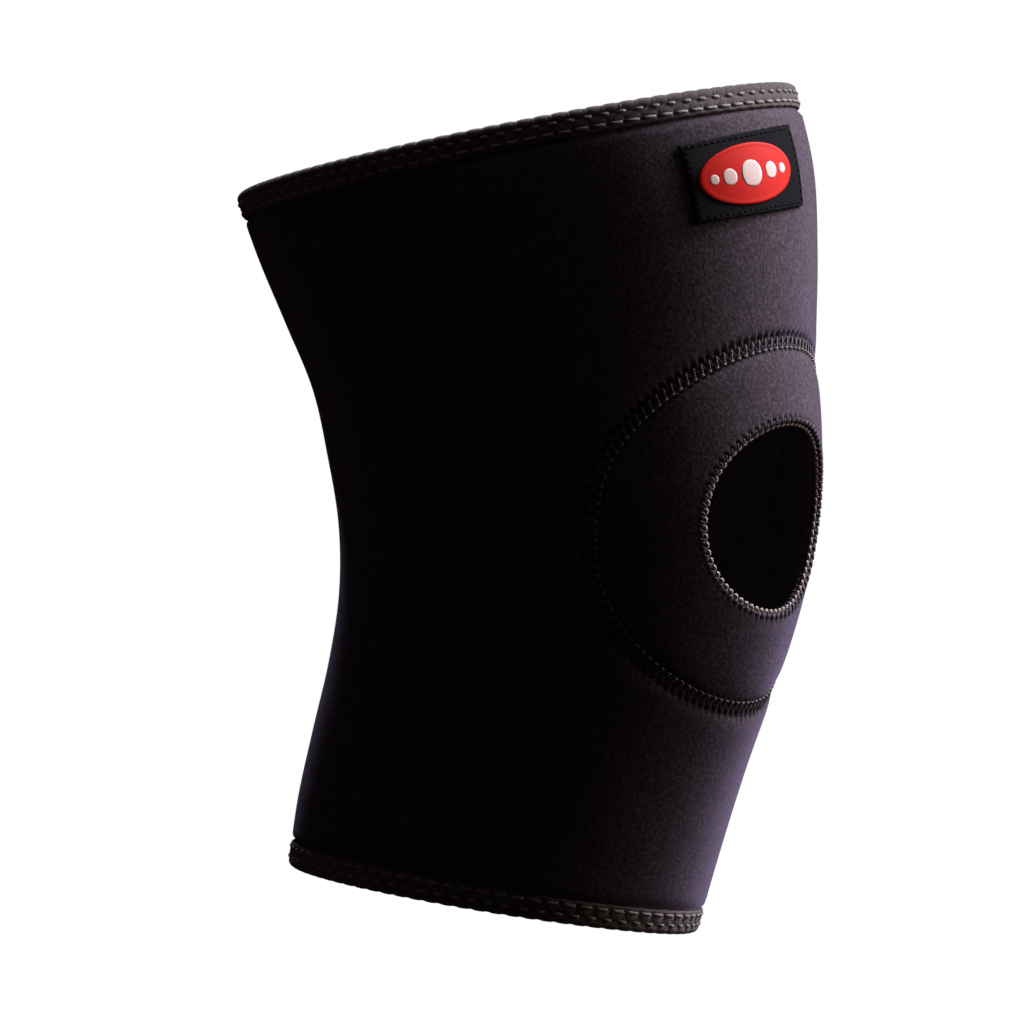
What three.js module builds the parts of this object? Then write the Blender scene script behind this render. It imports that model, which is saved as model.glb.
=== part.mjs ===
// A neoprene knee sleeve with an open kneecap, in the form it has on a slightly bent right leg.
// Millimetres, +Z up. The front of the knee faces -Y and the outer side of the leg -X.
// The origin is the middle of the knee, in the hollow of the sleeve.

import * as THREE from "three";

const { degToRad, lerp, smoothstep } = THREE.MathUtils;

// Driving dimensions of the leg's form, over the neoprene. The thigh's are at the top rim and the calf's at
// the bottom rim. setback is how far behind the knee the middle lies. The rim's front stands frontRise higher
// than its back, and its inner side innerRise higher than its outer side.
const THIGH = { depth: 164, width: 141, setback: 24, frontRise: 29, innerRise: 11 };
const KNEE = { depth: 142, width: 114 };
const CALF = { depth: 119, width: 106, setback: 31.5, frontRise: -18, innerRise: -6 };
const ABOVE_KNEE = 109.5; // on the leg's axis, from the knee's middle up to the top rim
const BELOW_KNEE = 104.5; // and down to the bottom rim

// Driving dimensions of the pieces
const WALL = 3; // neoprene between two jersey faces
const SEAM_GAP = 0.3; // between the two butted edges of the panel's seam
const PANEL = { width: 124, height: 102 };
const HOLE = { width: 62, height: 52.5 };
const HOLE_RISE = 2.5; // from the panel's middle up to the hole's
const PANEL_SWELL = 1.2; // the kneecap pushes the panel out past the sleeve
const SEAM_DIP = 0.9; // the seam's thread pulls the foam in
const SEAM_SPREAD = 4; // how far from the seam the dip reaches
const BAND = 7.5; // height of the two bindings, outside and inside
const TAPE = 0.9; // thickness of the binding tape
const TAPE_GAP = 0.3; // between the tape and the neoprene it wraps
const RIM_DIP = TAPE + TAPE_GAP; // the neoprene is pressed in, so that the tape lies flush with the sleeve
const RIM_DIP_END = { full: 0.75, none: 4 }; // past the tape, where the dip starts to fade and where it ends
const BINDING_CROWN = 1.8; // how far from the rim the tape starts to round over
const NEOPRENE_EDGE = TAPE + TAPE_GAP; // from the rim to the neoprene's own edge
const LABEL = { width: 43, height: 22.8, thickness: 0.7 };
const LABEL_DROP = 7; // from the top binding down to the label
const LABEL_OUTWARD = 13.3; // from the front's middle towards the outer side of the leg
const LABEL_TILT = degToRad(3.5); // its inner end stands higher
const BADGE = { width: 34.5, height: 16.8, thickness: 0.5 };
const BADGE_OUTWARD = 1.65; // from the label's middle towards the outer side of the leg
const LABEL_GAP = 0.3; // under the label, and under the badge on it

// How finely the surfaces are divided
const FRONT_TURN = 1.75; // half of the turn that the front block of the sleeve takes, in radians
const FRONT_COLUMNS = 24;
const BACK_COLUMNS = 18;
const ROWS = 18;
const SLEEVE_RINGS = [0.75, 0.48, 0.27, 0.14, 0.06, 0]; // shares of the way from the seam to the block's edge
const PANEL_RINGS = [1, 0.92, 0.78, 0.55, 0.3, 0.1, 0]; // shares of the way from the hole to the seam
const BINDING_ARC_STEPS = 6;
const LABEL_GRID = { columns: 12, rows: 5 };
const BADGE_GRID = { columns: 10, rows: 10 };
const WALK_STEPS = 24;
const NUDGE = 1e-4; // step of the finite differences

const HEIGHT = BELOW_KNEE + ABOVE_KNEE;

// The leg's form from the bottom rim, along 0, to the top rim, along 1. Depth and width are shares of the
// girth named in the row, and setback is a share of the setback at the rim named in the row.
const SECTIONS = [
  { along: 0.0, girth: CALF, depth: 1.0, width: 1.0, rim: CALF, setback: 1.0 },
  { along: 0.1, girth: CALF, depth: 1.04, width: 1.01, rim: CALF, setback: 0.82 },
  { along: 0.2, girth: CALF, depth: 1.07, width: 1.02, rim: CALF, setback: 0.6 },
  { along: 0.3, girth: KNEE, depth: 0.93, width: 0.95, rim: CALF, setback: 0.36 },
  { along: 0.4, girth: KNEE, depth: 0.96, width: 0.97, rim: CALF, setback: 0.18 },
  { along: 0.5, girth: KNEE, depth: 1.0, width: 1.0, rim: CALF, setback: 0.09 },
  { along: 0.6, girth: KNEE, depth: 1.02, width: 1.05, rim: THIGH, setback: 0.18 },
  { along: 0.7, girth: KNEE, depth: 1.04, width: 1.1, rim: THIGH, setback: 0.3 },
  { along: 0.8, girth: THIGH, depth: 0.955, width: 0.93, rim: THIGH, setback: 0.48 },
  { along: 0.9, girth: THIGH, depth: 1.0, width: 0.965, rim: THIGH, setback: 0.7 },
  { along: 1.0, girth: THIGH, depth: 1.0, width: 1.0, rim: THIGH, setback: 1.0 },
];

const sections = new THREE.CubicInterpolant(
  SECTIONS.map((row) => row.along),
  SECTIONS.flatMap((row) => [
    row.girth.depth * row.depth,
    row.girth.width * row.width,
    row.rim.setback * row.setback,
  ]),
  3,
);

// A point on the smooth form. turn is the angle from the front's middle towards the inner side.
function smoothPoint(turn, along) {
  const [depth, width, setback] = sections.evaluate(along);
  const x = (width / 2) * Math.sin(turn);
  const y = (-depth / 2) * Math.cos(turn);
  const frontRise = lerp(CALF.frontRise / CALF.depth, THIGH.frontRise / THIGH.depth, along);
  const innerRise = lerp(CALF.innerRise / CALF.width, THIGH.innerRise / THIGH.width, along);
  const z = HEIGHT * along - BELOW_KNEE - frontRise * y + innerRise * x;
  return new THREE.Vector3(x, y + setback, z);
}

// How fast the form's point moves as turn or along grows: the form's two tangents.
function tangents(turn, along) {
  const low = Math.max(along - NUDGE, 0);
  const high = Math.min(along + NUDGE, 1);
  const around = smoothPoint(turn + NUDGE, along).sub(smoothPoint(turn - NUDGE, along));
  const up = smoothPoint(turn, high).sub(smoothPoint(turn, low));
  return { around: around.divideScalar(2 * NUDGE), up: up.divideScalar(high - low) };
}

// The turn that lies a distance in millimetres from the front's middle, on one row.
function turnAt(distance, along) {
  let turn = 0;
  for (let i = 0; i < WALK_STEPS; i++) {
    turn += distance / WALK_STEPS / tangents(turn, along).around.length();
  }
  return turn;
}

// The share along that lies a distance in millimetres above the start, on one turn.
function alongAt(distance, turn, start) {
  let along = start;
  for (let i = 0; i < WALK_STEPS; i++) {
    along += distance / WALK_STEPS / tangents(turn, along).up.length();
  }
  return along;
}

// An oval on the front: where its middle lies along, and its half sizes in turn and along.
function oval({ width, height }, rise) {
  const middle = alongAt(rise, 0, BELOW_KNEE / HEIGHT);
  return {
    middle,
    turn: turnAt(width / 2, middle),
    along: alongAt(height / 2, 0, middle) - middle,
  };
}

const panelOval = oval(PANEL, 0);
const sleeveOval = oval({ width: PANEL.width + 2 * SEAM_GAP, height: PANEL.height + 2 * SEAM_GAP }, 0);
const holeOval = oval(HOLE, HOLE_RISE);

// How far the cloth stands off the smooth form: the panel swells, and the seam and the rims dip. upLength is
// how many millimetres one share along spans at the spot.
function relief(turn, along, upLength) {
  const radius = Math.hypot(turn / panelOval.turn, (along - panelOval.middle) / panelOval.along);
  const fromSeam = ((radius - 1) * (PANEL.width + PANEL.height)) / 4;
  const swell = radius < 1 ? PANEL_SWELL * (1 - radius ** 4) : 0;
  const seamDip = SEAM_DIP * Math.exp(-((fromSeam / SEAM_SPREAD) ** 2));
  const fromTape = Math.min(along, 1 - along) * upLength - BAND;
  const rimDip = RIM_DIP * (1 - smoothstep(fromTape, RIM_DIP_END.full, RIM_DIP_END.none));
  return swell - seamDip - rimDip;
}

// A point that stands off the sleeve's outer face by a height, negative inside the wall.
function clothPoint(turn, along, height) {
  const { around, up } = tangents(turn, along);
  const lift = height + relief(turn, along, up.length());
  return smoothPoint(turn, along).addScaledVector(around.cross(up).normalize(), lift);
}

// A spot on the cloth is a [turn, along] pair. The quads of spots run counterclockwise seen from outside, and
// quads that meet share their spots. These are the quads between neighbouring rows of spots.
function quadsBetween(rows) {
  return rows.slice(1).flatMap((upper, r) => {
    const lower = rows[r];
    return upper.slice(1).map((spot, c) => [lower[c], lower[c + 1], spot, upper[c]]);
  });
}

function closed(row) {
  return [...row, row[0]];
}

function geometryOf(positions, index) {
  const geometry = new THREE.BufferGeometry();
  geometry.setAttribute("position", new THREE.Float32BufferAttribute(positions, 3));
  geometry.setIndex(index);
  geometry.computeVertexNormals();
  return geometry;
}

// Closes a sheet of quads into a wall between two heights. Each edge that only one quad has gets a side face.
function wallGeometry(quads, innerHeight, outerHeight) {
  const spots = [...new Set(quads.flat())];
  const numberOf = new Map(spots.map((spot, i) => [spot, i]));
  const positions = [outerHeight, innerHeight].flatMap((height) =>
    spots.flatMap(([turn, along]) => clothPoint(turn, along, height).toArray()),
  );
  const inside = spots.length;
  const index = [];
  const openEdges = new Map();
  for (const quad of quads) {
    const [a, b, c, d] = quad.map((spot) => numberOf.get(spot));
    index.push(a, b, c, a, c, d);
    index.push(inside + a, inside + c, inside + b, inside + a, inside + d, inside + c);
    for (const [from, to] of [[a, b], [b, c], [c, d], [d, a]]) {
      if (!openEdges.delete(`${to}-${from}`)) openEdges.set(`${from}-${to}`, [from, to]);
    }
  }
  for (const [from, to] of openEdges.values()) {
    index.push(to, from, inside + from, to, inside + from, inside + to);
  }
  return geometryOf(positions, index);
}

// The two rims, and which way leads from each into the sleeve
const RIMS = { top: { along: 1, into: -1 }, bottom: { along: 0, into: 1 } };

function alongFromRim(rim, distance, turn) {
  return alongAt(rim.into * distance, turn, rim.along);
}

// Even steps from one value to another, without the last.
function evenSteps(from, to, count) {
  return Array.from({ length: count }, (_, i) => lerp(from, to, i / count));
}

const rimTurns = [
  ...evenSteps(-FRONT_TURN, FRONT_TURN, FRONT_COLUMNS),
  ...evenSteps(FRONT_TURN, 2 * Math.PI - FRONT_TURN, BACK_COLUMNS),
];

// A row of spots at one distance from a rim
function rowFromRim(rim, distance) {
  return rimTurns.map((turn) => [turn, alongFromRim(rim, distance, turn)]);
}

// The spot that is a share of the way from one spot to another.
function spotBetween([turnA, alongA], [turnB, alongB], share) {
  return [lerp(turnA, turnB, share), lerp(alongA, alongB, share)];
}

// The rows between the two rims' dips, where the front block has rings round the panel in place of rows
const dipEnds = [RIMS.bottom, RIMS.top].map((rim) => rowFromRim(rim, BAND + RIM_DIP_END.none));
const middleRows = [...evenSteps(0, 1, ROWS), 1].map((share) =>
  dipEnds[0].map((spot, i) => spotBetween(spot, dipEnds[1][i], share)),
);

// The rows of one rim: the neoprene's edge, where the dip starts to fade, and where it ends
function rimRows(rim) {
  return [
    rowFromRim(rim, NEOPRENE_EDGE),
    rowFromRim(rim, BAND + RIM_DIP_END.full),
    rim === RIMS.top ? middleRows.at(-1) : middleRows[0],
  ];
}

// The edge of the front block, counterclockwise from its low inner corner. Each of its four sides is joined
// to a quarter of the oval, and the angle beside each spot says where.
function frontBlockEdge() {
  const upper = middleRows.at(-1).slice(0, FRONT_COLUMNS + 1);
  const lower = middleRows[0].slice(0, FRONT_COLUMNS + 1);
  const inner = middleRows.map((row) => row[FRONT_COLUMNS]);
  const outer = middleRows.map((row) => row[0]);
  const sides = [inner, upper.toReversed(), outer.toReversed(), lower];
  return sides.flatMap((side, quarter) =>
    side.slice(0, -1).map((spot, i, { length }) => ({
      spot,
      angle: (Math.PI / 2) * (quarter - 0.5 + i / length),
    })),
  );
}

const blockEdge = frontBlockEdge();

function ovalSpot({ middle, turn, along }, angle) {
  return [turn * Math.cos(angle), middle + along * Math.sin(angle)];
}

function sleeveGeometry() {
  const edge = blockEdge.map(({ spot }) => spot);
  const rings = SLEEVE_RINGS.map((share) =>
    blockEdge.map(({ spot, angle }) => spotBetween(ovalSpot(sleeveOval, angle), spot, share)),
  );
  return wallGeometry(
    [
      ...quadsBetween([edge, ...rings].map(closed)),
      ...quadsBetween(middleRows.map((row) => closed(row).slice(FRONT_COLUMNS))),
      ...quadsBetween(rimRows(RIMS.bottom).map(closed)),
      ...quadsBetween(rimRows(RIMS.top).toReversed().map(closed)),
    ],
    -WALL,
    0,
  );
}

function panelGeometry() {
  const rings = PANEL_RINGS.map((share) =>
    blockEdge.map(({ angle }) => spotBetween(ovalSpot(holeOval, angle), ovalSpot(panelOval, angle), share)),
  );
  return wallGeometry(quadsBetween(rings.map(closed)), -WALL, 0);
}

// The binding's section as [distance from the rim, height] pairs: up the outside, over the rim in a half
// oval, down the inside, and back round the neoprene's edge.
function bindingSection() {
  const outside = TAPE_GAP + TAPE;
  const inside = -WALL - outside;
  const over = Array.from({ length: BINDING_ARC_STEPS + 1 }, (_, i) => {
    const angle = (Math.PI * i) / BINDING_ARC_STEPS;
    return [
      BINDING_CROWN * (1 - Math.sin(angle)),
      (outside + inside + (outside - inside) * Math.cos(angle)) / 2,
    ];
  });
  return [
    [BAND, outside],
    [(BAND + BINDING_CROWN) / 2, outside],
    ...over,
    [(BAND + BINDING_CROWN) / 2, inside],
    [BAND, inside],
    [BAND, -WALL - TAPE_GAP],
    [TAPE, -WALL - TAPE_GAP],
    [TAPE, TAPE_GAP],
    [BAND, TAPE_GAP],
  ];
}

// Carries the section round one rim. Seen along the rim it runs the other way at the bottom than at the top.
function bindingGeometry(rim) {
  const section = rim === RIMS.top ? bindingSection() : bindingSection().toReversed();
  const positions = rimTurns.flatMap((turn) =>
    section.flatMap(([distance, height]) =>
      clothPoint(turn, alongFromRim(rim, distance, turn), height).toArray(),
    ),
  );
  const numbers = rimTurns.map((_, i) => section.map((_, k) => i * section.length + k));
  const quads = quadsBetween(closed(numbers).map(closed));
  return geometryOf(positions, quads.flatMap(([a, b, c, d]) => [a, c, b, a, d, c]));
}

const labelTurn = turnAt(-LABEL_OUTWARD, 1);
const labelAlong = alongFromRim(RIMS.top, BAND + LABEL_DROP + LABEL.height / 2, labelTurn);

// The spot at x and y millimetres from the label's middle, along its own tilted sides.
function labelSpot(x, y) {
  const { around, up } = tangents(labelTurn, labelAlong);
  const across = x * Math.cos(LABEL_TILT) - y * Math.sin(LABEL_TILT);
  const above = x * Math.sin(LABEL_TILT) + y * Math.cos(LABEL_TILT);
  return [labelTurn + across / around.length(), labelAlong + above / up.length()];
}

// The quads of a grid over a square from -1 to 1, which a function maps to millimetres on the label.
function labelQuads({ columns, rows }, toMillimetres) {
  return quadsBetween(
    [...evenSteps(-1, 1, rows), 1].map((v) =>
      [...evenSteps(-1, 1, columns), 1].map((u) => labelSpot(...toMillimetres(u, v))),
    ),
  );
}

function labelGeometry() {
  const quads = labelQuads(LABEL_GRID, (u, v) => [(u * LABEL.width) / 2, (v * LABEL.height) / 2]);
  return wallGeometry(quads, LABEL_GAP, LABEL_GAP + LABEL.thickness);
}

// The square is rounded into an oval, which keeps all its cells four-sided.
function badgeGeometry() {
  const halfWidth = BADGE.width / 2;
  const halfHeight = BADGE.height / 2;
  const quads = labelQuads(BADGE_GRID, (u, v) => [
    u * halfWidth * Math.sqrt(1 - (v * v) / 2) - BADGE_OUTWARD,
    v * halfHeight * Math.sqrt(1 - (u * u) / 2),
  ]);
  const seat = LABEL_GAP + LABEL.thickness + LABEL_GAP;
  return wallGeometry(quads, seat, seat + BADGE.thickness);
}

const FINISHES = {
  jersey: new THREE.MeshStandardMaterial({ color: 0x1f1c22, roughness: 0.92, metalness: 0 }),
  tape: new THREE.MeshStandardMaterial({ color: 0x18171a, roughness: 0.85, metalness: 0 }),
  label: new THREE.MeshStandardMaterial({ color: 0x0b0b12, roughness: 0.7, metalness: 0 }),
  badge: new THREE.MeshStandardMaterial({ color: 0xc8261f, roughness: 0.45, metalness: 0 }),
};

function piece(name, geometry, finish) {
  const mesh = new THREE.Mesh(geometry, finish);
  mesh.name = name;
  return mesh;
}

const kneeSleeve = new THREE.Group();
kneeSleeve.add(
  piece("sleeve_body", sleeveGeometry(), FINISHES.jersey),
  piece("knee_panel", panelGeometry(), FINISHES.jersey),
  piece("top_binding", bindingGeometry(RIMS.top), FINISHES.tape),
  piece("bottom_binding", bindingGeometry(RIMS.bottom), FINISHES.tape),
  piece("label_patch", labelGeometry(), FINISHES.label),
  piece("label_badge", badgeGeometry(), FINISHES.badge),
);

export default kneeSleeve;
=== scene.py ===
"""A worn neoprene knee sleeve with an open kneecap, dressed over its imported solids.

Shapes are worked out in millimetres from the same named sizes and sections as the part's solids, and turned
into metres where a mesh is made. The front of the knee faces -Y, and the outer side of the leg -X.
"""

import logging
import math
from dataclasses import dataclass
from enum import Enum
from typing import NamedTuple

import bpy
import numpy as np
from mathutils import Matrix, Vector


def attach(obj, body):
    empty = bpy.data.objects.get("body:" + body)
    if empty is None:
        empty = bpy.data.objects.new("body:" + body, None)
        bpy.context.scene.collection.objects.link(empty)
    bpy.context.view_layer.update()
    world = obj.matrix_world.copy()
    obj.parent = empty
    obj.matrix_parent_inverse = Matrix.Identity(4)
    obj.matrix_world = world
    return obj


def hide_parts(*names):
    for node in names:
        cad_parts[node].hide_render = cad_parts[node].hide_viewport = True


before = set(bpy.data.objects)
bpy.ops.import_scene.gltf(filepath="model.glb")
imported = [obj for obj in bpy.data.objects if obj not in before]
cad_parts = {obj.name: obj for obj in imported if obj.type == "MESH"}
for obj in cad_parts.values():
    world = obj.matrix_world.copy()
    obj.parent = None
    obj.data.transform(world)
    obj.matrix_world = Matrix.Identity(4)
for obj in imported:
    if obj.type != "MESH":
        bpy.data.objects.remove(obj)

log = logging.getLogger("knee_sleeve")

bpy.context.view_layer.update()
MM = 0.001
FULL_TURN = 2 * math.pi
NUDGE = 1e-4  # step of the finite differences
WALK_STEPS = 24
WALL = 3.0
TAPE = 0.9
TAPE_GAP = 0.3
TAPE_FACE = TAPE + TAPE_GAP  # from the neoprene's face to the tape's
BAND = 7.5
FRONT_TURN = 1.75  # half of the turn that the front block takes, in radians
BACK_RADIUS = 58.0  # what one radian of turn spans at the back of the leg

Array = np.ndarray
Pair = tuple[np.ndarray, np.ndarray]
Material = bpy.types.Material
NodeTree = bpy.types.NodeTree
Node = bpy.types.Node
Socket = bpy.types.NodeSocket


class Girth(NamedTuple):
    """The leg's form at one height: its sizes, and how far its rim leans."""

    depth: float
    width: float
    setback: float = 0.0
    front_rise: float = 0.0
    inner_rise: float = 0.0


THIGH = Girth(164, 141, 24, 29, 11)
KNEE = Girth(142, 114)
CALF = Girth(119, 106, 31.5, -18, -6)
ABOVE_KNEE = 109.5
BELOW_KNEE = 104.5
HEIGHT = BELOW_KNEE + ABOVE_KNEE


class Section(NamedTuple):
    """One section of the leg: shares of the named girth, and of the setback at the named rim."""

    girth: Girth
    depth: float
    width: float
    rim: Girth
    setback: float


# From the bottom rim to the top rim, a tenth of the height apart
SECTIONS = [
    Section(CALF, 1.0, 1.0, CALF, 1.0),
    Section(CALF, 1.04, 1.01, CALF, 0.82),
    Section(CALF, 1.07, 1.02, CALF, 0.6),
    Section(KNEE, 0.93, 0.95, CALF, 0.36),
    Section(KNEE, 0.96, 0.97, CALF, 0.18),
    Section(KNEE, 1.0, 1.0, CALF, 0.09),
    Section(KNEE, 1.02, 1.05, THIGH, 0.18),
    Section(KNEE, 1.04, 1.1, THIGH, 0.3),
    Section(THIGH, 0.955, 0.93, THIGH, 0.48),
    Section(THIGH, 1.0, 0.965, THIGH, 0.7),
    Section(THIGH, 1.0, 1.0, THIGH, 1.0),
]


def unit(vectors: Array) -> Array:
    """Each vector divided by its own length."""
    return vectors / np.linalg.norm(vectors, axis=-1, keepdims=True)


def running_length(points: Array) -> Array:
    """The length along a row of points, up to each of them."""
    return np.concatenate([[0], np.cumsum(np.linalg.norm(np.diff(points, axis=0), axis=1))])


def lapped(value: Array, known: Array, wanted: Array) -> Array:
    """Reads a table of one closed lap, from 0 up, at values past its ends too."""
    laps = np.floor(value / known[-1])
    return np.interp(value - laps * known[-1], known, wanted) + laps * wanted[-1]


class LegForm:
    """The smooth form that the sleeve takes on a slightly bent right leg, in millimetres."""

    def __init__(self) -> None:
        """Reads the sections into one table, with a row past each end so that the ends run on straight."""
        rows = [
            (s.girth.depth * s.depth, s.girth.width * s.width, s.rim.setback * s.setback) for s in SECTIONS
        ]
        table = np.array(rows, float)
        first = 2 * table[0] - table[1]
        last = 2 * table[-1] - table[-2]
        self.table = np.vstack([first, table, last])

    def sizes(self, along: Array) -> Array:
        """Depth, width and setback by a cubic through the four nearest rows (Catmull and Rom's weights).

        Args:
            along: share of the height, 0 at the bottom rim and 1 at the top.
        Returns:
            An array with depth, width and setback on its last axis.
        """
        place = np.clip(along, 0, 1) * (len(SECTIONS) - 1)
        row = np.minimum(place.astype(int), len(SECTIONS) - 2)
        t = (place - row)[..., None]
        a, b, c, d = (self.table[row + k] for k in range(4))
        return b + 0.5 * t * (c - a + t * (2 * a - 5 * b + 4 * c - d + t * (3 * (b - c) + d - a)))

    def smooth(self, turn: Array, along: Array) -> Array:
        """A point of the form: an oval across the leg, leaning with the rims, at a height share.

        x is half the width times sin(turn), y is minus half the depth times cos(turn) plus the setback, and
        z falls with y by the front's rise and grows with x by the inner side's rise.

        Args:
            turn: angle from the front's middle towards the inner side, in radians.
            along: share of the height.
        Returns:
            Points in millimetres, on the last axis.
        """
        turn, along = np.broadcast_arrays(np.asarray(turn, float), np.asarray(along, float))
        depth, width, setback = np.moveaxis(self.sizes(along), -1, 0)
        x = width / 2 * np.sin(turn)
        y = -depth / 2 * np.cos(turn)
        low_front = CALF.front_rise / CALF.depth
        low_inner = CALF.inner_rise / CALF.width
        front_rise = low_front + (THIGH.front_rise / THIGH.depth - low_front) * along
        inner_rise = low_inner + (THIGH.inner_rise / THIGH.width - low_inner) * along
        z = HEIGHT * along - BELOW_KNEE - front_rise * y + inner_rise * x
        return np.stack([x, y + setback, z], axis=-1)

    def tangents(self, turn: Array, along: Array) -> Pair:
        """How fast the form's point moves as turn or along grows, by finite differences.

        Args:
            turn: angle from the front's middle, in radians.
            along: share of the height.
        Returns:
            Millimetres for each radian of turn, and for the whole height.
        """
        low = np.maximum(along - NUDGE, 0)
        high = np.minimum(along + NUDGE, 1)
        around = self.smooth(turn + NUDGE, along) - self.smooth(turn - NUDGE, along)
        up = self.smooth(turn, high) - self.smooth(turn, low)
        return around / (2 * NUDGE), up / np.asarray(high - low)[..., None]

    def normal(self, turn: Array, along: Array) -> Array:
        """The unit vector that points out of the form: the cross product of the two tangents."""
        around, up = self.tangents(turn, along)
        return unit(np.cross(around, up))

    def turn_at(self, distance: float, along: float) -> float:
        """The turn at a distance from the front's middle, walked in even steps on one row.

        Args:
            distance: millimetres towards the inner side.
            along: share of the height.
        Returns:
            The turn in radians.
        """
        turn = np.asarray(0.0)
        for _ in range(WALK_STEPS):
            around, _up = self.tangents(turn, np.asarray(along))
            turn = turn + distance / WALK_STEPS / np.linalg.norm(around, axis=-1)
        return float(turn)

    def along_at(self, distance: Array, turn: Array, start: Array) -> Array:
        """The share at a distance above the start, walked in even steps on one turn.

        Args:
            distance: millimetres up the leg.
            turn: angle from the front's middle, in radians.
            start: share of the height to walk from.
        Returns:
            The share of the height.
        """
        distance, turn, along = (np.array(v, float) for v in np.broadcast_arrays(distance, turn, start))
        for _ in range(WALK_STEPS):
            _around, up = self.tangents(turn, along)
            along = along + distance / WALK_STEPS / np.linalg.norm(up, axis=-1)
        return along


LEG = LegForm()


class Oval:
    """An oval drawn on the front of the leg, with its arc length for even stitches."""

    def __init__(self, width: float, height: float, rise: float) -> None:
        """Turns sizes in millimetres into half sizes in turn and along, and measures the oval's length.

        Args:
            width: size across the leg, in millimetres.
            height: size along the leg.
            rise: how far its middle lies above the knee's middle.
        """
        self.middle = float(LEG.along_at(rise, 0.0, BELOW_KNEE / HEIGHT))
        self.half_turn = LEG.turn_at(width / 2, self.middle)
        self.half_along = float(LEG.along_at(height / 2, 0.0, self.middle)) - self.middle
        self.mean_half = (width + height) / 4
        self.angles = np.linspace(0, FULL_TURN, 3001)
        self.lengths = running_length(LEG.smooth(*self.spots(self.angles, 0.0)))
        self.length = float(self.lengths[-1])

    def spots(self, angle: Array, offset: Array) -> Pair:
        """Spots at an offset square to the oval, within the surface.

        The oval's tangent crossed with the surface's normal points outward, and the two tangents of the form
        turn that direction into shares of turn and along.

        Args:
            angle: the oval's own angle, counterclockwise from its inner side.
            offset: distance outward from the oval, in millimetres.
        Returns:
            Arrays of turn and of along.
        """
        angle, offset = np.broadcast_arrays(np.asarray(angle, float), np.asarray(offset, float))
        turn = self.half_turn * np.cos(angle)
        along = self.middle + self.half_along * np.sin(angle)
        around, up = LEG.tangents(turn, along)
        path = -around * (self.half_turn * np.sin(angle))[..., None]
        path = path + up * (self.half_along * np.cos(angle))[..., None]
        outward = unit(np.cross(path, np.cross(around, up)))
        e, f, g = (around * around).sum(-1), (around * up).sum(-1), (up * up).sum(-1)
        a, u = (around * outward).sum(-1), (up * outward).sum(-1)
        shrink = e * g - f * f
        return turn + offset * (g * a - f * u) / shrink, along + offset * (e * u - f * a) / shrink

    def angle_at(self, distance: Array) -> Array:
        """The oval's angle at a length along it, from the inner side counterclockwise, past a turn too."""
        return lapped(distance, self.lengths, self.angles)

    def length_at(self, angle: Array) -> Array:
        """The length along the oval at one of its angles."""
        return lapped(angle, self.angles, self.lengths)


PANEL_OVAL = Oval(124, 102, 0)
HOLE_OVAL = Oval(62, 52.5, 2.5)


def bell(distance: Array, spread: float) -> Array:
    """A bell that is 1 at no distance and fades over the spread."""
    return np.exp(-((distance / spread) ** 2))


@dataclass(frozen=True)
class Relief:
    """How the cloth stands off the smooth form, in millimetres: the panel swells and each seam dips."""

    panel_swell: float = 1.2
    seam_dip: float = 0.9
    seam_spread: float = 4.0
    dip_full: float = 0.35  # past the tape, where the rim's dip starts to fade
    dip_none: float = 1.7
    back_dip: float = 0.55
    back_spread: float = 3.5

    def at(self, turn: Array, along: Array) -> Array:
        """The relief that the solids have.

        The swell fades with the fourth power of the radius, a seam's dip is a bell across it, and the rim's
        dip fades in a smooth step past the tape.

        Args:
            turn: angle from the front's middle, in radians.
            along: share of the height.
        Returns:
            Heights in millimetres.
        """
        radius = np.hypot(turn / PANEL_OVAL.half_turn, (along - PANEL_OVAL.middle) / PANEL_OVAL.half_along)
        swell = np.where(radius < 1, self.panel_swell * (1 - radius**4), 0)
        seam_dip = self.seam_dip * bell((radius - 1) * PANEL_OVAL.mean_half, self.seam_spread)
        inside = np.clip(along, 0, 1)
        _around, up = LEG.tangents(turn, inside)
        from_tape = np.minimum(inside, 1 - inside) * np.linalg.norm(up, axis=-1) - BAND
        step = np.clip((from_tape - self.dip_full) / (self.dip_none - self.dip_full), 0, 1)
        return swell - seam_dip - TAPE_FACE * (1 - step * step * (3 - 2 * step))

    def sewn(self, turn: Array) -> Array:
        """What sewing adds and the solids leave out: a bell along the back seam."""
        return -self.back_dip * bell((np.mod(turn, FULL_TURN) - math.pi) * BACK_RADIUS, self.back_spread)


RELIEF = Relief()


def cloth(turn: Array, along: Array, height: Array) -> Array:
    """Points that stand off the sleeve's outer face.

    Args:
        turn: angle from the front's middle, in radians.
        along: share of the height.
        height: millimetres off the face, negative inside the wall.
    Returns:
        Points in millimetres.
    """
    turn, along, height = np.broadcast_arrays(turn, along, height)
    lift = height + RELIEF.at(turn, along) + RELIEF.sewn(turn)
    return LEG.smooth(turn, along) + LEG.normal(turn, along) * lift[..., None]


def off_beat(place: Array, pitch: float, phase: float = 0.0) -> Array:
    """Distance to the nearest of the evenly spaced stitches, in millimetres, with its sign."""
    share = place / pitch - phase
    return (share - np.round(share)) * pitch


class Grid(NamedTuple):
    """Points in millimetres with their faces, and what the materials read at each point."""

    points: Array
    faces: Array
    uv: Array
    shade: Array


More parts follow.
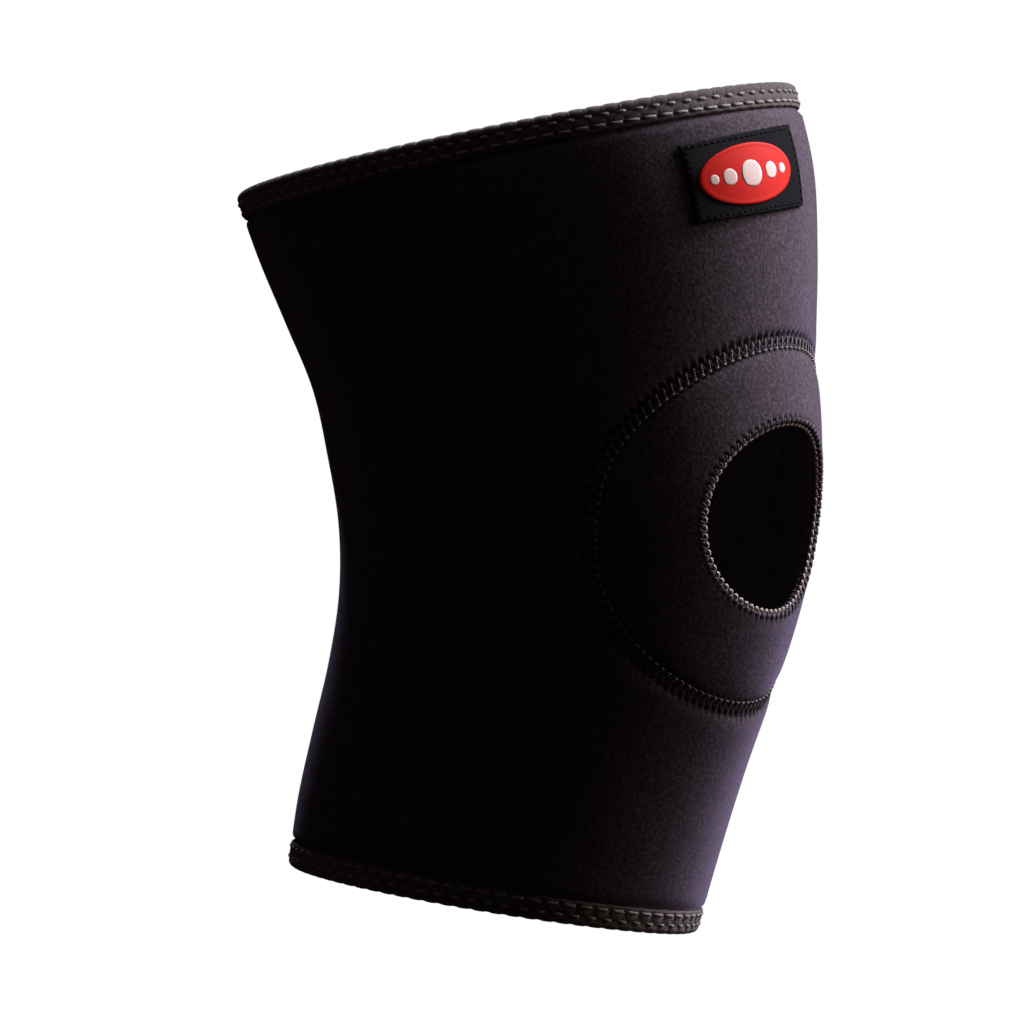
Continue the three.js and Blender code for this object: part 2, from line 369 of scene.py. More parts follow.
def lattice(rows: int, columns: int, wrap_rows: bool, wrap_columns: bool) -> Array:
    """Four-sided faces between the neighbours of a grid of points numbered row by row.

    Args:
        rows: how many rows.
        columns: how many points in a row.
        wrap_rows: whether the last row joins the first.
        wrap_columns: whether a row's last point joins its first.
    Returns:
        Four point numbers for each face.
    """
    r = np.arange(rows if wrap_rows else rows - 1)
    c = np.arange(columns if wrap_columns else columns - 1)
    row, column = np.meshgrid(r, c, indexing="ij")
    above, right = (row + 1) % rows, (column + 1) % columns
    corners = [row * columns + column, above * columns + column]
    corners += [above * columns + right, row * columns + right]
    return np.stack(corners, axis=-1).reshape(-1, 4)


def joined(grids: list[Grid]) -> Grid:
    """One grid from several, with the faces renumbered.

    Args:
        grids: the grids to join, in order.
    Returns:
        The joined grid.
    """
    starts = np.cumsum([0] + [len(g.points) for g in grids[:-1]])
    faces = np.concatenate([g.faces + start for g, start in zip(grids, starts)])
    points, uv, shade = (np.concatenate([g[k] for g in grids]) for k in (0, 2, 3))
    return Grid(points, faces, uv, shade)


def net(points: Array, uv: Array, shade: Array, wraps: tuple[bool, bool]) -> Grid:
    """A grid from points by row and column.

    Args:
        points: in millimetres, with x, y and z on the last axis.
        uv: the fabric's own millimetres at each point.
        shade: how much painted shade each point gets, 0 to 1, deepest in the needle holes.
        wraps: whether the last row joins the first, and the last column the first.
    Returns:
        The grid.
    """
    return Grid(points.reshape(-1, 3), lattice(*shade.shape, *wraps), uv.reshape(-1, 2), shade.ravel())


def walled(outer: Grid, inner: Array) -> Grid:
    """Closes a sheet into a wall: its inner face is turned round, and each open edge gets a side.

    Args:
        outer: the outer face, its faces counterclockwise seen from outside.
        inner: the inner face's points, in the same order.
    Returns:
        The closed wall.
    """
    quads = outer.faces
    count = len(outer.points)
    edges = np.concatenate([quads[:, [k, (k + 1) % 4]] for k in range(4)])
    keys = edges[:, 0] * count + edges[:, 1]
    backwards = edges[:, 1] * count + edges[:, 0]
    rim = edges[~np.isin(keys, backwards)]
    sides = np.stack([rim[:, 1], rim[:, 0], rim[:, 0] + count, rim[:, 1] + count], axis=1)
    return Grid(
        np.concatenate([outer.points, inner]),
        np.concatenate([quads, quads[:, ::-1] + count, sides]),
        np.concatenate([outer.uv, outer.uv]),
        np.concatenate([outer.shade, outer.shade * 0]),
    )


def fabric_uv(turn: Array, along: Array) -> Array:
    """The knit's own millimetres: around the leg at its mean girth, and up along it."""
    return np.stack([turn * BACK_RADIUS, along * HEIGHT], axis=-1)


def make_piece(name: str, grid: Grid, finish: Material, hides: str = "") -> bpy.types.Object:
    """Puts a grid into a mesh object that rides on the sleeve's one body.

    Args:
        name: the piece's name.
        grid: its points in millimetres.
        finish: its material.
        hides: the CAD node that it stands for, if any.
    Returns:
        The new object.
    """
    mesh = bpy.data.meshes.new(name)
    mesh.vertices.add(len(grid.points))
    mesh.vertices.foreach_set("co", (grid.points * MM).astype(np.float32).ravel())
    mesh.loops.add(grid.faces.size)
    mesh.loops.foreach_set("vertex_index", grid.faces.astype(np.int32).ravel())
    mesh.polygons.add(len(grid.faces))
    mesh.polygons.foreach_set("loop_start", np.arange(0, grid.faces.size, 4, dtype=np.int32))
    mesh.polygons.foreach_set("use_smooth", np.ones(len(grid.faces), bool))
    layer = mesh.uv_layers.new(name="fabric_mm")
    layer.data.foreach_set("uv", grid.uv[grid.faces.ravel()].astype(np.float32).ravel())
    shade = mesh.attributes.new("shade", "FLOAT", "POINT")
    shade.data.foreach_set("value", grid.shade.astype(np.float32))
    mesh.update(calc_edges=True)
    mesh.validate()
    mesh.materials.append(finish)
    piece = bpy.data.objects.new(name, mesh)
    bpy.context.scene.collection.objects.link(piece)
    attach(piece, "root")
    if hides:
        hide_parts(hides)
    log.info("%s: %d points, %d faces", name, len(grid.points), len(grid.faces))
    return piece


THREAD_SIDES = 6
THREAD_END = 0.35  # how thick a thread's closed end is, as a share


def strands(paths: Array, up: Array, width: float, height: float) -> Grid:
    """Short tubes along many paths, flattened like thread under tension, and closed at both ends.

    At each point a ring lies square to the path: half the width times the cosine along the side direction,
    and half the height times the sine along up. The ends shrink.

    Args:
        paths: points by strand and place, in millimetres.
        up: which way is off the cloth, at each point.
        width: across the strand, along the cloth.
        height: off the cloth.
    Returns:
        All the strands as one grid.
    """
    count, places, _ = paths.shape
    ahead = unit(np.gradient(paths, axis=1))
    side = unit(np.cross(ahead, up))
    lift = np.cross(side, ahead)
    size = np.ones((1, places, 1, 1))
    size[:, [0, -1]] = THREAD_END
    angle = np.arange(THREAD_SIDES)[:, None] * FULL_TURN / THREAD_SIDES
    across = np.cos(angle) * width / 2 * size
    above = np.sin(angle) * height / 2 * size
    points = paths[:, :, None] + side[:, :, None] * across + lift[:, :, None] * above
    tube = lattice(places, THREAD_SIDES, False, True)
    first = np.array([[0, 1, 2, 3], [0, 3, 4, 5]])
    last = first[:, ::-1] + (places - 1) * THREAD_SIDES
    one = np.concatenate([tube, first, last])[:, ::-1]
    starts = np.arange(count)[:, None, None] * places * THREAD_SIDES
    length = np.stack([running_length(path) for path in paths])[:, :, None]
    u, v = np.broadcast_arrays(length, np.arange(THREAD_SIDES) / THREAD_SIDES)
    faces = (one[None] + starts).reshape(-1, 4)
    return Grid(points.reshape(-1, 3), faces, np.stack([u, v], -1).reshape(-1, 2), np.zeros(u.size))


def linear(hex_colour: str) -> tuple[float, float, float, float]:
    """An sRGB hex colour as linear light.

    Args:
        hex_colour: such as 4a3f52.
    Returns:
        Red, green, blue and alpha.
    """
    values = np.array([int(hex_colour[k : k + 2], 16) for k in (0, 2, 4)]) / 255
    low = values / 12.92
    high = ((values + 0.055) / 1.055) ** 2.4
    red, green, blue = np.where(values <= 0.04045, low, high)
    return float(red), float(green), float(blue), 1.0


def add_node(tree: NodeTree, kind: str, settings: dict) -> Node:
    """Adds a node, and sets or links what it has.

    Args:
        tree: the node tree.
        kind: Blender's name of the node, without ShaderNode.
        settings: values, or outputs to link, by an input's number or name or by an attribute's name.
    Returns:
        The new node.
    """
    node = tree.nodes.new(f"ShaderNode{kind}")
    for name, value in settings.items():
        if isinstance(value, Socket):
            tree.links.new(node.inputs[name], value)
        elif isinstance(name, int) or name in node.inputs:
            node.inputs[name].default_value = value
        else:
            setattr(node, name, value)
    return node


def reckon(tree: NodeTree, operation: str, *values: object, clamp: bool = False) -> Socket:
    """The result of a Math node, from numbers and outputs in their order."""
    settings = {"operation": operation, "use_clamp": clamp, **dict(enumerate(values))}
    return add_node(tree, "Math", settings).outputs[0]


def mixed(tree: NodeTree, factor: object, first: object, second: object, how: str = "MIX") -> Socket:
    """Two colours mixed by a factor, each a value or an output."""
    settings = {"data_type": "RGBA", "blend_type": how, 0: factor, 6: first, 7: second}
    return add_node(tree, "Mix", settings).outputs[2]


class Surface:
    """A new material with one shader, and the places and patterns that its finish reads."""

    def __init__(self, name: str) -> None:
        """Makes the material, its shader and its output.

        Args:
            name: the material's name.
        """
        self.material = bpy.data.materials.new(name)
        self.material.use_nodes = True
        self.tree = self.material.node_tree
        self.tree.nodes.clear()
        self.shader = add_node(self.tree, "BsdfPrincipled", {})
        add_node(self.tree, "OutputMaterial", {"Surface": self.shader.outputs["BSDF"]})

    def fabric(self) -> tuple[Socket, Socket]:
        """The two places on the fabric, in its own millimetres."""
        uv = add_node(self.tree, "UVMap", {"uv_map": "fabric_mm"}).outputs["UV"]
        split = add_node(self.tree, "SeparateXYZ", {"Vector": uv})
        return split.outputs["X"], split.outputs["Y"]

    def noise(self, size_mm: float, **settings: float) -> Socket:
        """Noise that is fixed to the piece.

        Args:
            size_mm: how wide its grains are.
            settings: further settings of the noise.
        Returns:
            The noise, from 0 to 1.
        """
        place = add_node(self.tree, "TexCoord", {}).outputs["Object"]
        settings = {"Scale": 1 / (size_mm * MM), "Detail": 2.0, **settings, "Vector": place}
        return add_node(self.tree, "TexNoise", settings).outputs["Fac"]

    def with_painted_shade(self, colour: Socket, deep: str) -> Socket:
        """The colour, falling to a deep one as painted shade where the shade attribute marks needle holes
        and folds.
        """
        shade = add_node(self.tree, "Attribute", {"attribute_name": "shade"}).outputs["Fac"]
        return mixed(self.tree, shade, colour, linear(deep))

    def dress(
        self, colour: Socket, height: Socket, strength: float, depth_mm: float, plain: dict
    ) -> Material:
        """Links the colour and the bump, and sets what is the same everywhere.

        Args:
            colour: the base colour.
            height: what the bump follows.
            strength: the bump's strength.
            depth_mm: how deep it looks, in millimetres.
            plain: the shader's other inputs by name.
        Returns:
            The finished material.
        """
        settings = {"Strength": strength, "Distance": depth_mm * MM, "Height": height}
        bump = add_node(self.tree, "Bump", settings)
        self.tree.links.new(self.shader.inputs["Base Color"], colour)
        self.tree.links.new(self.shader.inputs["Normal"], bump.outputs["Normal"])
        for name, value in plain.items():
            self.shader.inputs[name].default_value = value
        return self.material


@dataclass(frozen=True)
class JerseyFinish:
    """Brushed nylon jersey laminated to neoprene: matt, with a bluish bloom where it is seen edge on."""

    name: str = "nylon_jersey_on_neoprene"
    shadow_yarn: str = "2b2325"
    body_yarn: str = "40373f"
    light_yarn: str = "5d5265"
    # painted shade: the colour that the needle holes fall to
    painted_shade_colour: str = "060506"
    bloom: str = "a496cc"
    bloom_weight: float = 0.5
    fibre_mm: float = 1.0
    cloud_mm: float = 9.0
    wale_mm: float = FULL_TURN * BACK_RADIUS / 700
    course_mm: float = 0.42
    wale_height: float = 0.7
    course_height: float = 0.15
    fuzz_height: float = 2.2
    yarn_places: tuple[float, float, float] = (0.34, 0.5, 0.7)
    roughness: float = 0.88
    gloss: float = 0.25
    bump: float = 0.45
    bump_mm: float = 0.14

    def make(self) -> Material:
        """Fibre noise mixes three yarns, painted shade darkens the needle holes, and the knit's wales and
        courses give the bump.
        """
        surface = Surface(self.name)
        tree = surface.tree
        fibre = surface.noise(self.fibre_mm, Detail=3.0, Roughness=0.62)
        cloud = surface.noise(self.cloud_mm)
        ramp = add_node(tree, "ValToRGB", {"Fac": fibre})
        stops = ramp.color_ramp.elements
        stops.new(self.yarn_places[-1])
        yarns = (self.shadow_yarn, self.body_yarn, self.light_yarn)
        for place, yarn in enumerate(yarns):
            stops[place].color = linear(yarn)
            stops[place].position = self.yarn_places[place]
        limits = {"From Min": 0.3, "From Max": 0.7, "To Min": 0.92, "To Max": 1.08}
        patchy = add_node(tree, "MapRange", {**limits, "Value": cloud}).outputs["Result"]
        tinted = mixed(tree, 1.0, ramp.outputs["Color"], patchy, "MULTIPLY")
        fuzz = reckon(tree, "MULTIPLY_ADD", fibre, self.fuzz_height, self.knit_height(surface))
        plain = {
            "Roughness": self.roughness,
            "Specular IOR Level": self.gloss,
            "Sheen Weight": self.bloom_weight,
            "Sheen Roughness": 0.4,
            "Sheen Tint": linear(self.bloom),
        }
        # painted shade darkens the needle holes and the wraps round the kneecap hole
        colour = surface.with_painted_shade(tinted, self.painted_shade_colour)
        return surface.dress(colour, fuzz, self.bump, self.bump_mm, plain)

    def knit_height(self, surface: Surface) -> Socket:
        """Rows of faint V-shaped loops: the course's wave is shifted by the distance from the wale's middle.

        The wales are drawn about 0.5 mm apart, a little coarser than real jersey, so that they show.

        Args:
            surface: the material in the making.
        Returns:
            The height.
        """
        tree = surface.tree
        around, up = surface.fabric()
        wales = reckon(tree, "PINGPONG", around, self.wale_mm / 2)
        shifted = reckon(tree, "ADD", up, wales)
        wave = reckon(tree, "SINE", reckon(tree, "MULTIPLY", shifted, FULL_TURN / self.course_mm))
        ribbed = reckon(tree, "MULTIPLY", wales, self.wale_height / self.wale_mm)
        return reckon(tree, "MULTIPLY_ADD", wave, self.course_height, ribbed)


@dataclass(frozen=True)
class ThreadFinish:
    """Twisted polyester sewing thread: a soft gloss, with the twist as fine slanting ridges and painted
    shade in the grooves between them.
    """

    name: str
    colour: str
    # the colour of the painted shade in the twist's grooves
    dark: str
    twist_mm: float = 0.8
    roughness: float = 0.55
    sheen: float = 0.2
    gloss: float = 0.4
    bump: float = 0.6
    bump_mm: float = 0.15
    half_ply: float = 0.25  # half of a ridge, as a share of the twist

    def make(self) -> Material:
        """The twist's wave runs round and along the thread, lifts it, and darkens its grooves with painted
        shade.
        """
        surface = Surface(self.name)
        tree = surface.tree
        length, lap = surface.fabric()
        place = reckon(tree, "MULTIPLY_ADD", length, 1 / self.twist_mm, lap)
        ply = reckon(tree, "PINGPONG", place, self.half_ply)
        ridge = reckon(tree, "MULTIPLY", ply, 1 / self.half_ply, clamp=True)
        # painted shade: the twist's grooves fall to the dark colour
        colour = mixed(tree, ridge, linear(self.dark), linear(self.colour))
        plain = {"Roughness": self.roughness, "Sheen Weight": self.sheen, "Specular IOR Level": self.gloss}
        return surface.dress(colour, ridge, self.bump, self.bump_mm, plain)


@dataclass(frozen=True)
class WovenFinish:
    """Flat woven polyester, as in binding tape and sewn labels: crossed ribs, and a low satin gloss."""

    name: str
    warp: str
    weft: str
    rib_mm: float
    roughness: float
    sheen: float = 0.15
    gloss: float = 0.3
    # painted shade: the colour that the needle holes and the tape's fold fall to
    painted_shade_colour: str = "050405"
    weft_share: float = 0.6  # the weft's pitch as a share of the rib's
    weave_contrast: float = 0.7
    slub_mm: float = 1.3
    bump: float = 0.7
    bump_mm: float = 0.2

    def make(self) -> Material:
        """Two crossed waves in the fabric's millimetres make the weave, noise breaks its colour up, and
        painted shade darkens the needle holes and the fold.
        """
        surface = Surface(self.name)
        tree = surface.tree
        pitches = (self.rib_mm * self.weft_share, self.rib_mm)
        waves = [
            reckon(tree, "SINE", reckon(tree, "MULTIPLY", place, FULL_TURN / pitch))
            for place, pitch in zip(surface.fabric(), pitches)
        ]
        woven = reckon(tree, "MULTIPLY", *waves)
        slub = surface.noise(self.slub_mm)
        blend = reckon(tree, "MULTIPLY_ADD", woven, self.weave_contrast, slub, clamp=True)
        yarns = mixed(tree, blend, linear(self.weft), linear(self.warp))
        colour = surface.with_painted_shade(yarns, self.painted_shade_colour)
        plain = {"Roughness": self.roughness, "Specular IOR Level": self.gloss, "Sheen Weight": self.sheen}
        return surface.dress(colour, woven, self.bump, self.bump_mm, plain)


@dataclass(frozen=True)
class PrintFinish:
    """Moulded silicone print on a label: a smooth, slightly soft gloss over an even colour."""

    name: str
    colour: str
    worn: str
    roughness: float = 0.5
    gloss: float = 0.25
    wear_mm: float = 6.0
    grain_mm: float = 0.5
    bump: float = 0.15
    bump_mm: float = 0.1

    def make(self) -> Material:
        """Slow noise shifts the colour a little, as handling does, and fine noise dulls the gloss."""
        surface = Surface(self.name)
        colour = mixed(surface.tree, surface.noise(self.wear_mm), linear(self.colour), linear(self.worn))
        plain = {"Roughness": self.roughness, "Specular IOR Level": self.gloss}
        return surface.dress(colour, surface.noise(self.grain_mm), self.bump, self.bump_mm, plain)


class NeedleRow(NamedTuple):
    """A row of needle holes: its beat, its distance past the gap's edge, and how far a hole spreads."""

    phase: float
    past_gap: float
    along: float
    across: float


OUTER_NEEDLES = NeedleRow(0.0, 0.5, 0.62, 0.95)
INNER_NEEDLES = NeedleRow(0.5, 0.3, 0.5, 0.6)


class Stitch(NamedTuple):
    """One kind of thread by its stations, and the size of the strand.

    Along is in shares of the pitch, across in millimetres or in shares of the seam's half gap, and lift in
    millimetres off the cloth.
    """

    along: tuple[float, ...]
    across: tuple[float, ...]
    lift: tuple[float, ...]
    width: float
    height: float


SLANT = 0.45  # how far a cross thread leans, as a share of the pitch
CROSS = Stitch(
    tuple(SLANT * share for share in (0, 0.06, 0.22, 0.5, 0.78, 0.94, 1.0)),
    (1.05, 0.9, 0.6, 0, -0.6, -0.9, -1.0),
    (-0.8, -0.1, 0.25, 0.3, 0.28, 0.05, -0.5),
    0.6,
    0.42,
)
RETURN = Stitch(
    (SLANT, 0.6, 0.75, 0.9, 1.0),
    (-1.0, -0.6, 0, 0.6, 1.05),
    (-0.6, -0.1, 0.08, -0.05, -0.7),
    0.4,
    0.3,
)
KNOT = Stitch(
    tuple(SLANT + share for share in (-0.3, -0.18, 0, 0.18, 0.3)),
    (-0.95, -0.84, -0.8, -0.84, -0.95),
    (-0.35, 0.15, 0.38, 0.15, -0.35),
    0.72,
    0.45,
)
HOLE_WRAP = Stitch(
    (0, 0.05, 0.12, 0.3, 0.4, 0.42, 0.4, 0.5, 0.6, 0.65, 0.7),
    (1.55, 1.4, 0.9, 0.25, -0.12, -0.22, -0.12, 0.25, 0.9, 1.4, 1.55),
    (-0.5, 0.0, 0.06, -0.15, -0.75, -1.5, -2.25, -2.85, -3.06, -3.0, -2.4),
    0.45,
    0.34,
)
HOLE_BEAD = Stitch(
    (-0.34, -0.28, -0.12, 0.12, 0.28, 0.34),
    (0.25, -0.15, -0.42, -0.42, -0.15, 0.25),
    (-0.5, -0.45, -0.5, -0.65, -0.75, -0.9),
    1.05,
    0.85,
)


class Track:
    """Something that stitches run along: it turns place, offset and height into points."""

    length: float = 0.0
    closed: bool = True

    def spots(self, place: Array, offset: Array) -> Pair:
        """Turn and along at a place and an offset."""
        raise NotImplementedError

    def stitches(self, pitch: float) -> int:
        """How many stitches of a pitch the track holds."""
        return round(self.length / pitch) if self.closed else int(self.length / pitch)

    def sew(self, stitch: Stitch, pitch: float, scale: float = 1.0, sink: Array | float = 0.0) -> Grid:
        """One thread at each stitch of the track.

        Args:
            stitch: the thread's stations and size.
            pitch: millimetres from one stitch to the next.
            scale: millimetres that 1 across stands for.
            sink: how much deeper each thread lies than its stations say.
        Returns:
            All the threads as one grid.
        """
        place = (np.arange(self.stitches(pitch))[:, None] + np.array(stitch.along)) * pitch
        offset = scale * np.array(stitch.across)
        place, offset, height = np.broadcast_arrays(place, offset, np.array(stitch.lift) - sink)
        turn, along = self.spots(place, offset)
        paths = cloth(turn, along, height)
        return strands(paths, LEG.normal(turn, along), stitch.width, stitch.height)


class OvalTrack(Track):
    """Stitches round an oval. Place counts counterclockwise from its inner side, offset outward."""

    def __init__(self, oval: Oval) -> None:
        """Keeps the oval and its length."""
        self.oval = oval
        self.length = oval.length

    def spots(self, place: Array, offset: Array) -> Pair:
        """The oval's own offset spots at a length along it."""
        return self.oval.spots(self.oval.angle_at(place), offset)


class BackTrack(Track):
    """Stitches up the middle of the back. Place counts up from the bottom rim, offset to the outer side."""

    closed = False

    def __init__(self, clear: float) -> None:
        """Measures the line up the back.

        Args:
            clear: how far it ends from each rim, in millimetres.
        """
        start = float(LEG.along_at(clear, math.pi, 0.0))
        end = float(LEG.along_at(-clear, math.pi, 1.0))
        self.shares = np.linspace(start, end, 400)
        self.lengths = running_length(LEG.smooth(math.pi, self.shares))
        self.length = float(self.lengths[-1])

    def spots(self, place: Array, offset: Array) -> Pair:
        """Along from the measured line, and turn from the offset over the back's radius."""
        along = np.interp(place, self.lengths, self.shares)
        return math.pi + offset / BACK_RADIUS, along


@dataclass
class FlatSeam:
    """The flat seam's stitches: a row of needle holes on each side, and threads that cross between."""

    pitch: float
    half_gap: float = 1.7
    pucker_height: float = 0.1
    pucker_place: float = 2.6
    pucker_spread: float = 1.3

    def holes(self, place: Array, offset: Array) -> Array:
        """How deep the needle holes reach, 0 to 1: bells at each stitch, long across the seam.

        Args:
            place: millimetres along the seam.
            offset: millimetres across it, positive outward.
        Returns:
            The depth's share.
        """
        depth = np.zeros_like(offset)
        for side, row in ((1, OUTER_NEEDLES), (-1, INNER_NEEDLES)):
            middle = side * (self.half_gap + row.past_gap)
            beat = bell(off_beat(place, self.pitch, row.phase), row.along)
            depth = depth + beat * bell(offset - middle, row.across)
        return np.clip(depth, 0, 1)

    def pucker(self, place: Array, offset: Array) -> Array:
        """The cloth's small swells between stitches, in millimetres, fading off beside the seam."""
        wave = self.pucker_height * np.cos(FULL_TURN * place / self.pitch + math.pi)
        return wave * bell(np.abs(offset) - self.pucker_place, self.pucker_spread)

    def threads(self, track: Track) -> tuple[Grid, Grid]:
        """The bright cover thread and the finer ground thread along a track."""
        knot, cross, back = (track.sew(s, self.pitch, self.half_gap) for s in (KNOT, CROSS, RETURN))
        return knot, joined([cross, back])


class RimSide(Enum):
    """The sleeve's two rims: the share along of each, and which way leads into the sleeve."""

    TOP = (1.0, -1.0)
    BOTTOM = (0.0, 1.0)


class RimTrack(Track):
    """Stitches round a rim. Place counts from the front's middle, offset from the rim into the sleeve."""

    def __init__(self, side: RimSide) -> None:
        """Measures the rim, and what share of the height one millimetre into the sleeve is.

        Args:
            side: the top rim or the bottom rim.
        """
        self.share, into = side.value
        self.turns = np.linspace(0, FULL_TURN, 2401)
        self.lengths = running_length(LEG.smooth(self.turns, self.share))
        self.length = float(self.lengths[-1])
        self.reach = (LEG.along_at(into * BAND, self.turns, self.share) - self.share) / BAND

    def spots(self, place: Array, offset: Array) -> Pair:
        """Turn from the measured rim, and along from the distance into the sleeve.

        Args:
            place: millimetres along the rim.
            offset: millimetres into the sleeve.
        Returns:
            Arrays of turn and of along.
        """
        turn = lapped(place, self.lengths, self.turns)
        reach = np.interp(np.mod(turn, FULL_TURN), self.turns, self.reach)
        return turn, self.share + reach * offset


PANEL_TRACK = OvalTrack(PANEL_OVAL)
SEAM = FlatSeam(pitch=PANEL_OVAL.length / 132)
BACK_TRACK = BackTrack(clear=BAND + 1.0)
BACK_SEAM = FlatSeam(pitch=2.7)


def edge_roll(distance: Array, radius: float) -> Array:
    """How far a rounded edge falls at a distance from the edge: the rest of a quarter circle."""
    rest = np.clip(1 - distance / radius, 0, 1)
    return radius * (1 - np.sqrt(1 - rest**2))


# How far each row of points lies from a cut edge or from the back seam, in millimetres
SEAM_ROWS = (0, 0.12, 0.35, 0.7, 1.1, 1.5, 1.9, 2.3, 2.7, 3.2, 3.8, 4.6)
BODY_ROWS = (*SEAM_ROWS, 5.6, 6.8)
PANEL_ROWS = (*SEAM_ROWS, 5.8, 7.2)
HOLE_ROWS = (0, 0.12, 0.35, 0.7, 1.1, 1.5, 2.0, 2.5, 3.1, 4.0, 5.2, 6.6)
BACK_COLUMNS = (0, 0.3, 0.7, 1.2, 1.6, 2.0, 2.5, 3.2, 4.2, 5.6, 7.5)
# Shares of the way from the seam to the block's edge, closer where the body dips under the tape
BLOCK_SHARES = (*np.linspace(0, 0.78, 18), 0.81, 0.84, 0.87, 0.9, 0.93, 0.96, 1.0)


class Row(NamedTuple):
    """A row of points on a neoprene piece: where they lie, how both faces stand, and the shade."""

    turn: Array
    along: Array
    height: Array
    inner: Array
    shade: Array


@dataclass
class NeoprenePieces:
    """The sleeve's body and its knee panel, cut from one laminate and butted at the panel's seam."""

    seam_gap: float = 0.12
    edge_radius: float = 1.1
    side_spots: int = 112
    end_spots: int = 128
    rim_pull: float = 0.11  # how far the rows crowd towards both rims
    seam_band: float = 8.0  # how far the rows follow the seam before they turn plain
    hole_band: float = 7.5
    # How deep the needle holes and wraps sink, and how much painted shade they get
    needle_depth: float = 0.9
    needle_shade: float = 0.95
    wrap_depth: float = 0.55
    wrap_shade: float = 0.8
    back_needle_depth: float = 0.7
    back_needle_shade: float = 0.8
    back_groove: float = 0.9
    back_groove_spread: float = 0.55
    inside_groove: float = 0.8
    inside_groove_spread: float = 0.6

    def oval_angles(self) -> Array:
        """Angles of the front block's spots: evenly spaced by length within each quarter of the seam."""
        marks = PANEL_OVAL.length_at(np.array([-0.25, 0.25, 0.75, 1.25, 1.75]) * math.pi)
        counts = (self.side_spots, self.end_spots) * 2
        parts = [np.linspace(marks[k], marks[k + 1], counts[k], endpoint=False) for k in range(4)]
        return PANEL_OVAL.angle_at(np.concatenate(parts))

    def neoprene_spot(self, turn: Array, share: Array) -> Pair:
        """Spots on the neoprene, which ends a little within the tape at both rims.

        Args:
            turn: angle from the front's middle, in radians.
            share: share of the way from its bottom edge to its top edge.
        Returns:
            Arrays of turn and of along.
        """
        bottom = LEG.along_at(TAPE_FACE, turn, 0.0)
        top = LEG.along_at(-TAPE_FACE, turn, 1.0)
        return turn, bottom + (top - bottom) * share

    def rim_shares(self) -> Array:
        """Shares up the block's side, without the last: even, but pulled towards both rims by a sine."""
        even = np.linspace(0, 1, self.side_spots, endpoint=False)
        return even - self.rim_pull * np.sin(FULL_TURN * even)

    def block_edge(self) -> Pair:
        """The front block's edge, counterclockwise from its low inner corner, a spot for each angle."""
        up = self.rim_shares()
        over = np.linspace(FRONT_TURN, -FRONT_TURN, self.end_spots, endpoint=False)
        turn = np.concatenate([np.full(len(up), FRONT_TURN), over, np.full(len(up), -FRONT_TURN), -over])
        down = np.append(up, 1.0)[:0:-1]
        share = np.concatenate([up, np.ones(len(over)), down, np.zeros(len(over))])
        return self.neoprene_spot(turn, share)

    def seam_row(self, angle: Array, offset: float, distance: float) -> Row:
        """A row beside the panel's seam, with the edges' roll, the puckers, and the needle holes with their
        painted shade.

        Args:
            angle: the seam oval's angles.
            offset: millimetres outward from the seam.
            distance: millimetres from the piece's own cut edge.
        Returns:
            The row.
        """
        place = PANEL_OVAL.length_at(angle)
        offsets = np.full_like(place, offset)
        holes = SEAM.holes(place, offsets)
        roll = edge_roll(distance, self.edge_radius)
        height = SEAM.pucker(place, offsets) - self.needle_depth * holes - roll
        inner = np.full_like(place, -WALL + roll)
        return Row(*PANEL_OVAL.spots(angle, offset), height, inner, self.needle_shade * holes)

    def hole_row(self, angle: Array, offset: float) -> Row:
        """A row beside the kneecap hole, with its rolled edge, puckers, and needle holes with their painted
        shade.

        Args:
            angle: the hole oval's angles.
            offset: millimetres outward from the edge.
        Returns:
            The row.
        """
        place = HOLE_OVAL.length_at(angle)
        wraps = HOLE_EDGE.holes(place, offset)
        roll = edge_roll(offset, self.edge_radius)
        height = HOLE_EDGE.pucker(place, offset) - self.wrap_depth * wraps - roll
        inner = np.full_like(place, -WALL + roll)
        return Row(*HOLE_OVAL.spots(angle, offset), height, inner, self.wrap_shade * wraps)

    def plain_rows(self, near: Pair, far: Pair, shares: Array) -> list[Row]:
        """Plain rows between two rows of spots.

        Args:
            near: turn and along of the first.
            far: turn and along of the last.
            shares: where each row lies on the way.
        Returns:
            The rows.
        """
        zeros = np.zeros_like(near[0])
        rows = []
        for share in shares:
            turn, along = (start + (end - start) * share for start, end in zip(near, far))
            rows.append(Row(turn, along, zeros, zeros - WALL, zeros))
        return rows

    def sheet(self, row: Row, closed: bool) -> tuple[Grid, Array]:
        """Both faces of a sheet.

        Args:
            row: all the rows, stacked into one.
            closed: whether a row's last point joins its first.
        Returns:
            The outer face's grid, and the inner face's points.
        """
        points = cloth(row.turn, row.along, row.height)
        outer = net(points, fabric_uv(row.turn, row.along), row.shade, (False, closed))
        return outer, cloth(row.turn, row.along, row.inner).reshape(-1, 3)

    def front_block(self) -> tuple[Grid, Array]:
        """The body's front: rings from the seam out to the block's edge.

        Returns:
            The outer face's grid, and the inner face's points.
        """
        angle = self.oval_angles()
        rows = [self.seam_row(angle, self.seam_gap + distance, distance) for distance in BODY_ROWS]
        rows += self.plain_rows(PANEL_OVAL.spots(angle, self.seam_band), self.block_edge(), BLOCK_SHARES)
        return self.sheet(Row(*(np.array(column) for column in zip(*rows))), True)

